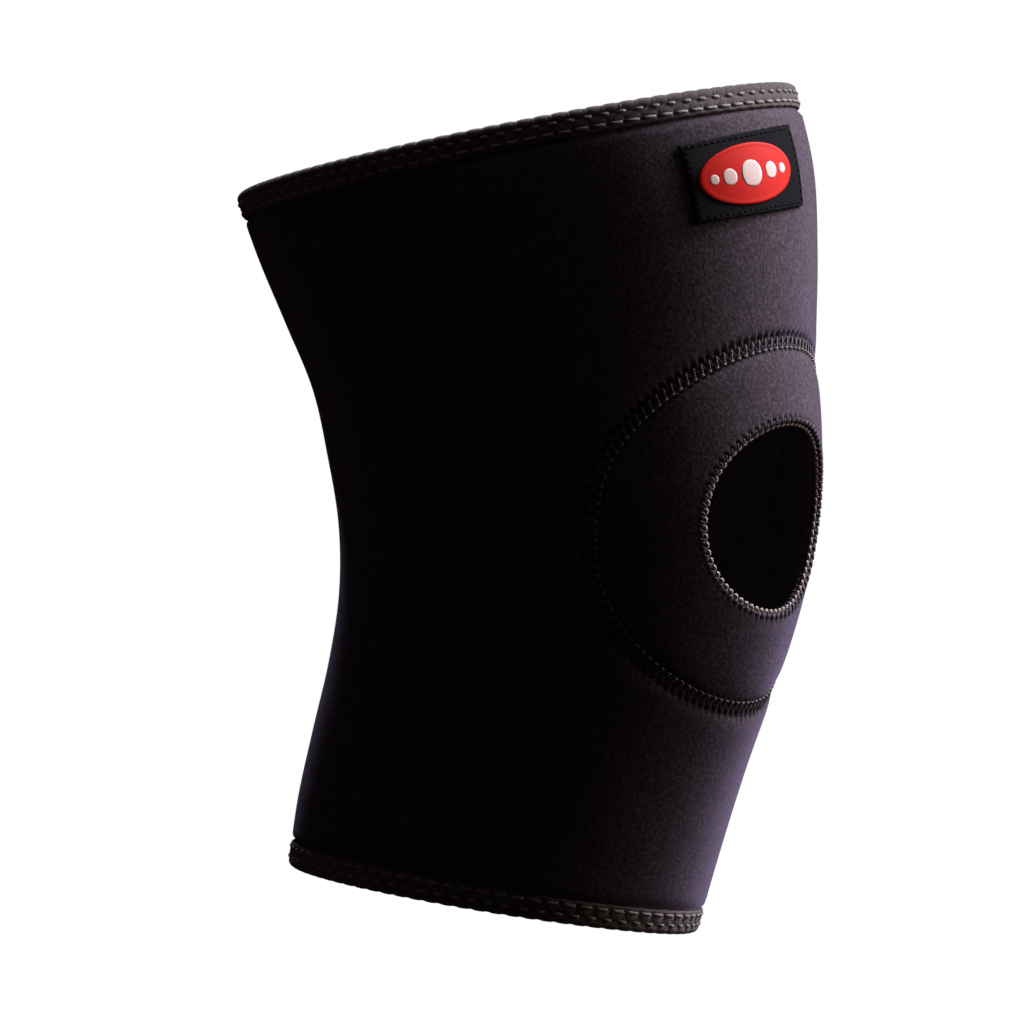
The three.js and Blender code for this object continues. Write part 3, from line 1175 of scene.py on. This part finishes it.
    def back_block(self) -> tuple[Grid, Array]:
        """The body's back: columns that crowd together at the back seam, with its groove and holes.

        Returns:
            The outer face's grid, and the inner face's points.
        """
        fine = np.array(BACK_COLUMNS) / BACK_RADIUS
        coarse = np.linspace(fine[-1], math.pi - FRONT_TURN, 26)[1:]
        out = np.concatenate([fine, coarse])
        columns = math.pi + np.concatenate([-out[::-1], out[1:]])
        columns[0], columns[-1] = FRONT_TURN, FULL_TURN - FRONT_TURN
        turn, share = np.meshgrid(columns, np.append(self.rim_shares(), 1.0), indexing="ij")
        turn, along = self.neoprene_spot(turn, share)
        offset = (turn - math.pi) * BACK_RADIUS
        outside = -99.0
        place = np.interp(along, BACK_TRACK.shares, BACK_TRACK.lengths, left=outside, right=outside)
        sewn = place > 0
        holes = BACK_SEAM.holes(place, offset) * sewn
        height = BACK_SEAM.pucker(place, offset) * sewn - self.back_needle_depth * holes
        height = height - self.back_groove * bell(offset, self.back_groove_spread)
        inner = self.inside_groove * bell(offset, self.inside_groove_spread) - WALL
        return self.sheet(Row(turn, along, height, inner, self.back_needle_shade * holes), False)

    def body(self) -> Grid:
        """The sleeve's body as one closed wall, its two blocks welded where their points lie together."""
        (front, front_inside), (back, back_inside) = self.front_block(), self.back_block()
        both = joined([front, back])
        inside = np.concatenate([front_inside, back_inside])
        rounded = np.round(both.points, 3)
        _places, first, number = np.unique(rounded, axis=0, return_index=True, return_inverse=True)
        faces = number.reshape(-1)[both.faces]
        outer = Grid(both.points[first], faces, both.uv[first], both.shade[first])
        return walled(outer, inside[first])

    def panel(self) -> Grid:
        """The knee panel as one closed ring: out over the face, down the seam's side, and back inside."""
        angle = self.oval_angles()
        before_seam = 1e-6  # keeps the panel's edge on the inner side of the seam
        near, far = HOLE_OVAL.spots(angle, self.hole_band), PANEL_OVAL.spots(angle, -self.seam_band)
        rows = [self.hole_row(angle, offset) for offset in HOLE_ROWS]
        rows += self.plain_rows(near, far, np.linspace(0, 1, 10))
        rows += [self.seam_row(angle, -distance - before_seam, distance) for distance in PANEL_ROWS[::-1]]
        turn, along, height, inner, shade = (np.array(column) for column in zip(*rows))
        turn, along = np.concatenate([turn, turn[::-1]]), np.concatenate([along, along[::-1]])
        height = np.concatenate([height, inner[::-1]])
        shade = np.concatenate([shade, shade * 0])
        return net(cloth(turn, along, height), fabric_uv(turn, along), shade, (True, True))

    def build(self, jersey: Material) -> None:
        """Makes both pieces, and hides the solids that they stand for.

        Args:
            jersey: the neoprene's knitted face.
        """
        body = make_piece("sleeve_jersey", self.body(), jersey, "sleeve_body")
        panel = make_piece("knee_panel_jersey", self.panel(), jersey, "knee_panel")


@dataclass
class HoleEdge:
    """Overlocking round the kneecap hole: threads wrapped over the edge, and a chain of loops along it."""

    wraps: int = 76
    needle_row: float = 1.6  # from the edge to the needle holes
    needle_along: float = 0.34
    needle_across: float = 0.45
    pucker_height: float = 0.16
    pucker_place: float = 0.9
    pucker_spread: float = 1.1
    sink: float = 0.6
    sink_start: float = 0.1  # where the chain lies deepest, as a share of the hole's length

    def __post_init__(self) -> None:
        """Spaces the wraps evenly round the hole."""
        self.pitch = HOLE_OVAL.length / self.wraps

    def holes(self, place: Array, offset: float) -> Array:
        """How deep the needle holes reach, 0 to 1."""
        beat = bell(off_beat(place, self.pitch), self.needle_along)
        return beat * bell(offset - self.needle_row, self.needle_across)

    def pucker(self, place: Array, offset: float) -> Array:
        """The jersey's small swells between wraps, in millimetres, at the edge."""
        wave = self.pucker_height * np.cos(FULL_TURN * place / self.pitch + math.pi)
        return wave * bell(offset - self.pucker_place, self.pucker_spread)

    def build(self, pale: Material, ground: Material) -> None:
        """Wraps go from the face over the edge to the back, and the chain's beads lie on the edge.

        The beads sink from the lip at the low outer side to the middle of the wall at the high inner side.

        Args:
            pale: the chain's thread, made paler than the thread is as a painted highlight.
            ground: the wraps' thread.
        """
        track = OvalTrack(HOLE_OVAL)
        share = np.arange(self.wraps)[:, None] / self.wraps
        sunk = self.sink * (1 + np.cos(FULL_TURN * (share - self.sink_start)))
        wraps, chain = track.sew(HOLE_WRAP, self.pitch), track.sew(HOLE_BEAD, self.pitch, sink=sunk)
        make_piece("hole_overlock_wraps", wraps, ground)
        make_piece("hole_overlock_chain", chain, pale)


HOLE_EDGE = HoleEdge()


# The tape's outer face from its edge towards the rim, and how its edge turns down, in millimetres
TAPE_STEPS = np.array([7.5, 7.25, 6.9, 6.45, 6.0, 5.55, 5.1, 4.6, 4.0, 3.55, 3.1, 2.65, 2.2])
TAPE_LIP = np.append([-0.55, -0.15], np.zeros(11))
SLOT_STEPS = (BAND, 4.0, TAPE)  # the inside of the folded tape, from its edge to the fold

# A dash of the stitched rows: shares of the pitch, and heights off the tape
DASH_SPAN = np.array([-0.37, -0.33, -0.18, 0, 0.18, 0.33, 0.37])
DASH_LIFT = np.array([-0.6, -0.12, 0.08, 0.12, 0.08, -0.12, -0.6])
ZIGZAG_REACH = np.array([0, 0.1, 0.5, 0.9, 1.0])
ZIGZAG_LIFT = np.array([-0.5, -0.12, -0.04, -0.12, -0.5])
NEAR_DASH = 0.62  # how long the near row's dashes are, against the far row's
CHAIN_LINK = 1.35  # how long the inside chain's links are

# Width and height of each kind of thread, in millimetres
DASH_SIZE = (0.95, 0.55)
ZIGZAG_SIZE = (0.4, 0.26)
WRAP_SIZE = (0.5, 0.3)
CHAIN_SIZE = (0.6, 0.4)


@dataclass
class Binding:
    """Tape folded over a rim and stitched down by two rows, with threads wrapped over the rim."""

    name: str
    side: RimSide
    node: str
    flat: tuple[float, float]
    pitch_goal: float = 4.9
    samples: int = 7  # columns of the tape for each stitch
    near_row: float = 3.2  # from the rim to the nearer row of stitches
    far_row: float = 6.1
    crown: float = 1.8
    press: float = 0.3
    press_spread: float = 0.55
    swell: float = 0.12
    swell_place: float = 4.5
    swell_spread: float = 3.5
    pinch: float = 0.3
    pinch_along: float = 0.75
    pinch_across: float = 1.6
    pinch_press: float = 0.6  # how far a pinch presses the tape, as a share of how far it pulls it in
    edge_wave: float = 0.15
    edge_from: float = 7.0
    needle_along: float = 0.6
    needle_across: float = 0.7
    # Painted shade in the needle holes and along the fold at the rim
    needle_shade: float = 0.8
    rim_shade: float = 0.25
    rim_spread: float = 1.3
    deepest_shade: float = 0.85
    wrap_reach: float = 2.9  # from the rim to where a wrap thread leaves the tape
    wrap_bite: float = 0.5  # how much nearer the rim it comes out
    wrap_sink: float = 0.12
    wrap_turn: float = 0.12  # from the flat to where it bends over, in radians
    wrap_flat: float = 1.95  # from the rim to where it bends over
    wrap_pull: float = 1.6
    wrap_round: float = 0.8  # the power that fills the bend out
    wrap_middle: float = 3.0  # from the rim to the middle that it bends about

    def __post_init__(self) -> None:
        """Fits a whole number of stitches to the rim."""
        self.track = RimTrack(self.side)
        self.count = round(self.track.length / self.pitch_goal)
        self.pitch = self.track.length / self.count

    def section(self) -> tuple[Array, Array, Array]:
        """The tape's section, outside, over the rim, inside, and back within the fold.

        Returns:
            Distances from the rim, heights, and the side that each point faces: 1 out, -1 in, 0 within.
        """
        inside = -WALL - TAPE_FACE
        angle = np.linspace(0, math.pi, 13)
        middle, half = (TAPE_FACE + inside) / 2, (TAPE_FACE - inside) / 2
        slot = np.array([*SLOT_STEPS, *SLOT_STEPS[::-1]])
        over = self.crown * (1 - np.sin(angle))
        distance = np.concatenate([TAPE_STEPS, over, TAPE_STEPS[::-1], slot])
        faces = [TAPE_FACE + TAPE_LIP, middle + half * np.cos(angle), inside - TAPE_LIP[::-1]]
        within = np.repeat([-WALL - TAPE_GAP, TAPE_GAP], len(SLOT_STEPS))
        height = np.concatenate([*faces, within])
        facing = np.sign(height + WALL / 2)
        facing[-len(slot) :] = 0
        return distance, height, facing

    def tape(self) -> Grid:
        """Carries the section round the rim: stitches press it, wraps pull it in, it swells between, and
        painted shade darkens its fold and needle holes.

        Returns:
            The closed grid.
        """
        distance, height, facing = self.section()
        spots = self.count * self.samples
        place = np.arange(spots)[:, None] * (self.track.length / spots)
        along, distance, height, facing = np.broadcast_arrays(place, distance, height, facing)
        shown = facing != 0
        beat = np.cos(FULL_TURN * along / self.pitch)
        rows = sum(bell(distance - row, self.press_spread) for row in (self.far_row, self.near_row))
        swell = self.swell * -beat * bell(distance - self.swell_place, self.swell_spread)
        at_wrap = bell(off_beat(along, self.pitch), self.pinch_along)
        pinch = self.pinch * shown * at_wrap * bell(distance, self.pinch_across)
        edge = np.where((distance > self.edge_from) & shown, self.edge_wave * beat, 0)
        lifted = height + facing * (swell - self.press * rows - pinch * self.pinch_press)
        turn, share = self.track.spots(along, distance + pinch + edge)
        # painted shade: darker along the fold at the rim and in the needle holes
        dark = self.rim_shade * bell(distance, self.rim_spread) * shown
        for row, phase in ((self.near_row, 0.5), (self.far_row, 0.0)):
            needle = bell(off_beat(along, self.pitch, phase), self.needle_along)
            dark = dark + self.needle_shade * needle * bell(distance - row, self.needle_across)
        shade = np.clip(dark, 0, self.deepest_shade)
        across = np.cumsum(np.abs(np.gradient(distance[0])))
        uv = np.stack(np.broadcast_arrays(along, across), axis=-1)
        grid = net(self.on_form(turn, share, lifted), uv, shade, (True, True))
        return grid._replace(faces=grid.faces[:, ::-1]) if self.side is RimSide.BOTTOM else grid

    def on_form(self, turn: Array, along: Array, height: Array) -> Array:
        """Points off the smooth form with the solids' own relief, straight on past the rim.

        Args:
            turn: angle from the front's middle, in radians.
            along: share of the height.
            height: millimetres off the form.
        Returns:
            Points in millimetres.
        """
        lift = height + RELIEF.at(turn, along)
        inside = np.clip(along, 0, 1)
        _around, up = LEG.tangents(turn, inside)
        base = LEG.smooth(turn, inside) + up * (along - inside)[..., None]
        return base + LEG.normal(turn, inside) * lift[..., None]

    def strand(self, place: Array, offset: Array, height: Array) -> Pair:
        """Strands on the tape, from arrays that broadcast together.

        Args:
            place: millimetres along the rim.
            offset: millimetres from the rim.
            height: millimetres off the form.
        Returns:
            Points, and the way off the tape at each.
        """
        place, offset, height = np.broadcast_arrays(place, offset, height)
        turn, along = self.track.spots(place, offset)
        normal = LEG.normal(turn, np.clip(along, 0, 1))
        return self.on_form(turn, along, height), normal * np.sign(height + WALL / 2)[..., None]

    def wrap(self, start: Array) -> Pair:
        """Threads laid over the rim, with their ends tucked into the tape on both faces.

        Args:
            start: where each wrap lies along the rim.
        Returns:
            Points, and the way off the tape at each.
        """
        angle = np.linspace(self.wrap_turn, math.pi - self.wrap_turn, 9)
        middle = -WALL / 2
        half = WALL / 2 + TAPE_FACE - self.wrap_sink
        tuck = np.array([self.wrap_reach, self.wrap_reach - self.wrap_bite])
        over = self.wrap_flat - self.wrap_pull * np.sin(angle) ** self.wrap_round
        offset = np.concatenate([tuck, over, tuck[::-1]])
        height = middle + half * np.concatenate([[0.75, 1.0], np.cos(angle), [-1.0, -0.75]])
        place = start + self.pitch * np.linspace(-0.06, 0.12, len(offset))
        turn, along = self.track.spots(place, offset)
        points = self.on_form(turn, along, height)
        _turn, deep = self.track.spots(place, self.wrap_middle)
        centre = self.on_form(turn, deep, middle)
        return points, unit(points - centre)

    def threads(self) -> tuple[Grid, Grid]:
        """Dashes on both rows, a zigzag between them, wraps over the rim and a chain inside.

        Returns:
            The bright dashes, and all the finer threads.
        """
        start = np.arange(self.count)[:, None] * self.pitch
        between = start + self.pitch / 2
        dash = self.pitch * DASH_SPAN
        chain = dash * CHAIN_LINK
        outside = DASH_LIFT + TAPE_FACE
        inside = -WALL - outside
        far = self.strand(between + dash, self.far_row, outside)
        proud = 0.05  # how much higher the near row lies
        near = self.strand(start + dash * NEAR_DASH, self.near_row, outside + proud)
        row = self.far_row + (self.near_row - self.far_row) * ZIGZAG_REACH
        fine = []
        for lean in (0.5, -0.5):
            zigzag = self.strand(start + self.pitch * lean * ZIGZAG_REACH, row, ZIGZAG_LIFT + TAPE_FACE)
            fine.append(strands(*zigzag, *ZIGZAG_SIZE))
        fine.append(strands(*self.wrap(start), *WRAP_SIZE))
        fine.append(strands(*self.strand(start + chain, self.far_row, inside), *CHAIN_SIZE))
        fine.append(strands(*self.strand(between + chain, self.near_row, inside), *CHAIN_SIZE))
        return joined([strands(*far, *DASH_SIZE), strands(*near, *DASH_SIZE)]), joined(fine)

    def build(self, tape: Material, bright: Material, fine: Material) -> None:
        """Makes the tape and its threads.

        Args:
            tape: the tape's cloth.
            bright: the thread of the dashes.
            fine: the thread of the wraps and chains.
        """
        piece = make_piece(self.name, self.tape(), tape, self.node)
        stitches, wraps = self.threads()
        make_piece(f"{self.name}_stitches", stitches, bright)
        make_piece(f"{self.name}_wraps", wraps, fine)


def round_net(count: int, half_width: float, half_height: float) -> Pair:
    """A square net pulled round into an oval: each side's reach shrinks as the other's grows."""
    u, v = np.meshgrid(np.linspace(-1, 1, count), np.linspace(-1, 1, count), indexing="ij")
    return half_width * u * np.sqrt(1 - v * v / 2), half_height * v * np.sqrt(1 - u * u / 2)


@dataclass
class Label:
    """The sewn label: a dark woven patch with a red oval on it."""

    width: float = 43.0
    height: float = 22.8
    thickness: float = 0.7
    drop: float = 7.0
    outward: float = 13.3
    tilt: float = math.radians(3.5)
    gap: float = 0.3
    badge_width: float = 34.5
    badge_height: float = 16.8
    badge_shown: float = 0.28  # what stands out of the patch's face, which the print is pressed into
    badge_outward: float = 1.65
    dot_places: tuple[float, ...] = (-12.6, -7.6, 0.0, 7.6, 12.6)
    dot_radii: tuple[float, ...] = (1.4, 2.3, 3.7, 2.3, 1.4)
    stitch_inset: float = 1.3
    stitch_pitch: float = 2.0
    stitch_press: float = 0.1
    patch_roll: float = 0.45
    badge_roll: float = 0.18
    badge_crown: float = 0.06
    dot_dome: float = 0.08

    def __post_init__(self) -> None:
        """Finds the label's middle, and the form's tangents there."""
        self.turn = LEG.turn_at(-self.outward, 1.0)
        reach = BAND + self.drop + self.height / 2
        self.along = float(LEG.along_at(-reach, self.turn, 1.0))
        around, up = LEG.tangents(np.asarray(self.turn), np.asarray(self.along))
        self.per_turn = float(np.linalg.norm(around))
        self.per_along = float(np.linalg.norm(up))
        self.face = self.gap + self.thickness

    def place(self, x: Array, y: Array, height: Array) -> Array:
        """A point on the label, along its own tilted sides.

        Args:
            x: millimetres from the label's middle towards the inner side.
            y: millimetres up.
            height: millimetres off the sleeve.
        Returns:
            Points in millimetres.
        """
        across = x * math.cos(self.tilt) - y * math.sin(self.tilt)
        above = x * math.sin(self.tilt) + y * math.cos(self.tilt)
        turn = self.turn + across / self.per_turn
        along = self.along + above / self.per_along
        lift = height + RELIEF.at(turn, along)
        return LEG.smooth(turn, along) + LEG.normal(turn, along) * lift[..., None]

    def pad(self, x: Array, y: Array, right: Array, above: Array, top: Array, low: float) -> Grid:
        """A closed pad that lies on the label.

        Args:
            x: places across the pad, in its own flat millimetres.
            y: places up it.
            right: how far each place is moved along x.
            above: how far each is moved along y.
            top: heights of the upper face.
            low: height of the underside.
        Returns:
            The closed grid.
        """
        upper = self.place(x + right, y + above, top)
        under = self.place(x + right, y + above, np.full_like(x, low))
        face = net(upper, np.stack([x, y], -1), np.zeros_like(x), (False, False))
        return walled(face, under.reshape(-1, 3))

    def patch(self) -> Grid:
        """A thin slab whose edges round off, pressed in along its stitches, a little wavy at the sides."""
        u, v = np.meshgrid(np.linspace(-1, 1, 121), np.linspace(-1, 1, 67), indexing="ij")
        x, y = u * self.width / 2, v * self.height / 2
        from_side = np.minimum(self.width / 2 - np.abs(x), self.height / 2 - np.abs(y))
        wave = 0.12 * np.sin(y * 1.9) * np.sign(x) * bell(from_side, 0.8)
        ripple = 0.1 * np.sin(x * 1.7 + 1.0) * np.sign(y) * bell(from_side, 0.8)
        press = self.stitch_press * bell(from_side - self.stitch_inset, 0.3)
        top = self.face - edge_roll(from_side, self.patch_roll) - press
        return self.pad(x, y, wave, ripple, top, self.gap)

    def badge(self) -> Grid:
        """An oval pad with a raised, rounded border."""
        half_width, half_height = self.badge_width / 2, self.badge_height / 2
        x, y = round_net(81, half_width, half_height)
        from_edge = (1 - np.hypot(x / half_width, y / half_height)) * half_height
        crown = self.badge_crown * bell(from_edge - 0.6, 0.4)
        top = self.face + self.badge_shown - edge_roll(from_edge, self.badge_roll) + crown
        return self.pad(x, y, -self.badge_outward, 0.0, top, self.face - 0.2)

    def dots(self) -> Grid:
        """Five raised dots in a row on the oval, the middle one the largest."""
        seat = self.face + self.badge_shown
        grids = []
        for middle, radius in zip(self.dot_places, self.dot_radii):
            x, y = round_net(13, radius, radius)
            dome = self.dot_dome * np.sqrt(np.clip(1 - (np.hypot(x, y) / radius) ** 4, 0, 1))
            grids.append(self.pad(x, y, middle - self.badge_outward, 0.0, seat + 0.02 + dome, seat - 0.1))
        return joined(grids)

    def stitches(self) -> Grid:
        """Short dark stitches along the patch's four sides."""
        half_x, half_y = self.width / 2 - self.stitch_inset, self.height / 2 - self.stitch_inset
        step = np.array([-0.38, -0.3, 0.0, 0.3, 0.38]) * self.stitch_pitch
        lift = np.array([-0.35, 0.05, 0.15, 0.05, -0.35]) + self.face - 0.1
        first = 0.9  # from the corner to the first stitch's middle
        x = np.arange(-half_x + first, half_x, self.stitch_pitch)[:, None] + step
        y = np.arange(-half_y + first, half_y, self.stitch_pitch)[:, None] + step
        paths = []
        for sign in (-1, 1):
            paths.append(self.place(x, sign * half_y, np.broadcast_to(lift, x.shape)))
            paths.append(self.place(sign * half_x, y, np.broadcast_to(lift, y.shape)))
        path = np.concatenate(paths)
        up = LEG.normal(np.asarray(self.turn), np.asarray(self.along))
        return strands(path, np.broadcast_to(up, path.shape), 0.42, 0.35)

    def build(self, woven: Material, red: Material, white: Material, thread: Material) -> None:
        """Makes the patch, its stitches, the red oval and the dots.

        Args:
            woven: the patch's cloth.
            red: the oval's print.
            white: the dots' print.
            thread: the thread of the stitches.
        """
        patch = make_piece("label_cloth_patch", self.patch(), woven, "label_patch")
        make_piece("label_stitches", self.stitches(), thread)
        make_piece("label_oval", self.badge(), red, "label_badge")
        make_piece("label_dots", self.dots(), white)


def build_seam_threads(bright: Material, ground: Material) -> None:
    """Makes the threads of the panel's seam, and of the plain seam that closes the sleeve at the back.

    Args:
        bright: the cover thread.
        ground: the thread below it.
    """
    for name, seam, track in (("panel_seam", SEAM, PANEL_TRACK), ("back_seam", BACK_SEAM, BACK_TRACK)):
        cover_thread, ground_thread = seam.threads(track)
        make_piece(f"{name}_cover_thread", cover_thread, bright)
        make_piece(f"{name}_ground_thread", ground_thread, ground)


@dataclass(frozen=True)
class Lamp:
    """A soft rectangular light: azimuth and elevation say where it stands round the knee."""

    name: str
    azimuth: float
    elevation: float
    distance: float
    size: tuple[float, float]
    watts: float
    colour: tuple[float, float, float] = (1.0, 1.0, 1.0)

    def build(self, target: Vector) -> None:
        """Places the lamp, facing the knee, out of the camera's sight.

        Args:
            target: the point that it faces.
        """
        data = bpy.data.lights.new(self.name, "AREA")
        data.shape = "RECTANGLE"
        data.size, data.size_y = self.size
        data.energy = self.watts
        data.color = self.colour
        lamp = bpy.data.objects.new(self.name, data)
        lamp.location = target + direction(self.azimuth, self.elevation) * self.distance
        lamp.rotation_euler = (target - lamp.location).to_track_quat("-Z", "Y").to_euler()
        lamp.visible_camera = False
        bpy.context.scene.collection.objects.link(lamp)


def direction(azimuth: float, elevation: float) -> Vector:
    """The way from the knee to something at an azimuth and elevation in degrees, 0 being the front."""
    a, e = math.radians(azimuth), math.radians(elevation)
    return Vector((math.sin(a) * math.cos(e), -math.cos(a) * math.cos(e), math.sin(e)))


@dataclass(frozen=True)
class Studio:
    """The camera at the photograph's angle, the lamps, a pale floor and a white surround."""

    camera_azimuth: float = -56.0
    camera_distance: float = 2.6
    sensor_mm: float = 36.0
    picture_mm: float = 1024 * 0.28  # what the picture's width spans at the knee
    target_right: float = -20.4
    target_up: float = 4.7
    floor_drop: float = 0.36
    floor_radius: float = 2.4
    floor_sides: int = 96
    floor_colour: str = "8f8d8a"
    floor_glow: str = "f2f0ee"
    fill_colour: str = "d8b8a8"
    fill_strength: float = 0.03

    def build(self) -> None:
        """Makes the camera, the floor, the lamps and the world."""
        scene = bpy.context.scene
        right = direction(self.camera_azimuth + 90, 0)
        target = right * self.target_right * MM + Vector((0, 0, self.target_up * MM))
        data = bpy.data.cameras.new("camera")
        data.sensor_width = self.sensor_mm
        data.lens = self.camera_distance * self.sensor_mm / (self.picture_mm * MM)
        data.clip_end = 50
        camera = bpy.data.objects.new("camera", data)
        camera.location = target + direction(self.camera_azimuth, 0) * self.camera_distance
        camera.rotation_euler = (target - camera.location).to_track_quat("-Z", "Y").to_euler()
        scene.collection.objects.link(camera)
        scene.camera = camera
        self.floor()
        for lamp in LAMPS:
            lamp.build(Vector((0, 0, 0)))
        self.world(scene)
        scene.view_settings.view_transform = "Standard"

    def floor(self) -> None:
        """A round pale floor well below the sleeve, as a ring of points about a middle one."""
        sides = self.floor_sides
        turn = np.arange(sides) * FULL_TURN / sides
        ring = np.stack([np.cos(turn), np.sin(turn), np.zeros(sides)], axis=1) * self.floor_radius
        points = np.vstack([ring, [[0, 0, 0]]]) - [[0, 0, self.floor_drop]]
        mesh = bpy.data.meshes.new("floor")
        mesh.from_pydata(points.tolist(), [], [(k, (k + 1) % sides, sides) for k in range(sides)])
        surface = Surface("pale_studio_floor")
        inputs = surface.shader.inputs
        inputs["Base Color"].default_value = linear(self.floor_colour)
        inputs["Roughness"].default_value = 0.9
        inputs["Emission Color"].default_value = linear(self.floor_glow)
        inputs["Emission Strength"].default_value = 0.9
        mesh.materials.append(surface.material)
        floor = bpy.data.objects.new("floor", mesh)
        floor.visible_diffuse = False
        floor.visible_glossy = False
        bpy.context.scene.collection.objects.link(floor)

    def world(self, scene: bpy.types.Scene) -> None:
        """White where the camera looks past the sleeve, and a dim warm fill for everything else.

        Args:
            scene: the scene that gets the world.
        """
        world = bpy.data.worlds.new("studio")
        world.use_nodes = True
        tree = world.node_tree
        tree.nodes.clear()
        dim = {"Color": linear(self.fill_colour), "Strength": self.fill_strength}
        fill = add_node(tree, "Background", dim)
        white = add_node(tree, "Background", {"Color": (1, 1, 1, 1), "Strength": 1.0})
        seen = add_node(tree, "LightPath", {}).outputs["Is Camera Ray"]
        mix = add_node(tree, "MixShader", {0: seen, 1: fill.outputs[0], 2: white.outputs[0]})
        add_node(tree, "OutputWorld", {"Surface": mix.outputs[0]})
        scene.world = world


LAMPS = [
    Lamp("key", 57, 41, 1.6, (0.6, 0.8), 50, (0.99, 0.95, 0.97)),
    Lamp("warm", 38, 16, 1.6, (0.5, 0.6), 8, (1.0, 0.74, 0.64)),
    Lamp("top", 20, 75, 1.5, (0.8, 0.8), 2),
    Lamp("behind", 130, 38, 1.8, (0.8, 0.8), 14),
]


def main() -> None:
    """Builds the sleeve piece by piece, then the studio."""
    logging.basicConfig(level=logging.INFO, format="%(message)s")
    jersey = JerseyFinish().make()
    tape = WovenFinish("knitted_binding_tape", "695d60", "3f373a", 0.8, 0.85, sheen=0.35).make()
    label = WovenFinish("woven_label_cloth", "0a0d1c", "05060d", 0.6, 0.85, sheen=0.04, gloss=0.08).make()
    cover = ThreadFinish("grey_polyester_cover_thread", "9a919b", "5f5861").make()
    ground = ThreadFinish("mauve_polyester_thread", "62586a", "3a333c").make()
    # partly painted highlight: the chain's thread is made paler than it is, to show the light that its loops
    # catch
    pale = ThreadFinish("overlock_thread_pale_with_painted_highlight", "cfc3c0", "877d7e").make()
    black = ThreadFinish("black_polyester_thread", "08080e", "040406", sheen=0.0, gloss=0.05).make()
    red = PrintFinish("red_silicone_print", "ec1610", "df1a12", 0.6, 0.12).make()
    white = PrintFinish("white_silicone_print", "fff2f2", "fde2e2", 0.6, 0.1).make()
    NeoprenePieces().build(jersey)
    build_seam_threads(cover, ground)
    HOLE_EDGE.build(pale, ground)
    Binding("top_tape", RimSide.TOP, "top_binding", (0.455, 0.021)).build(tape, cover, ground)
    Binding("bottom_tape", RimSide.BOTTOM, "bottom_binding", (0.335, 0.021)).build(tape, cover, ground)
    Label().build(label, red, white, black)
    Studio().build()


if __name__ == "__main__":
    main()
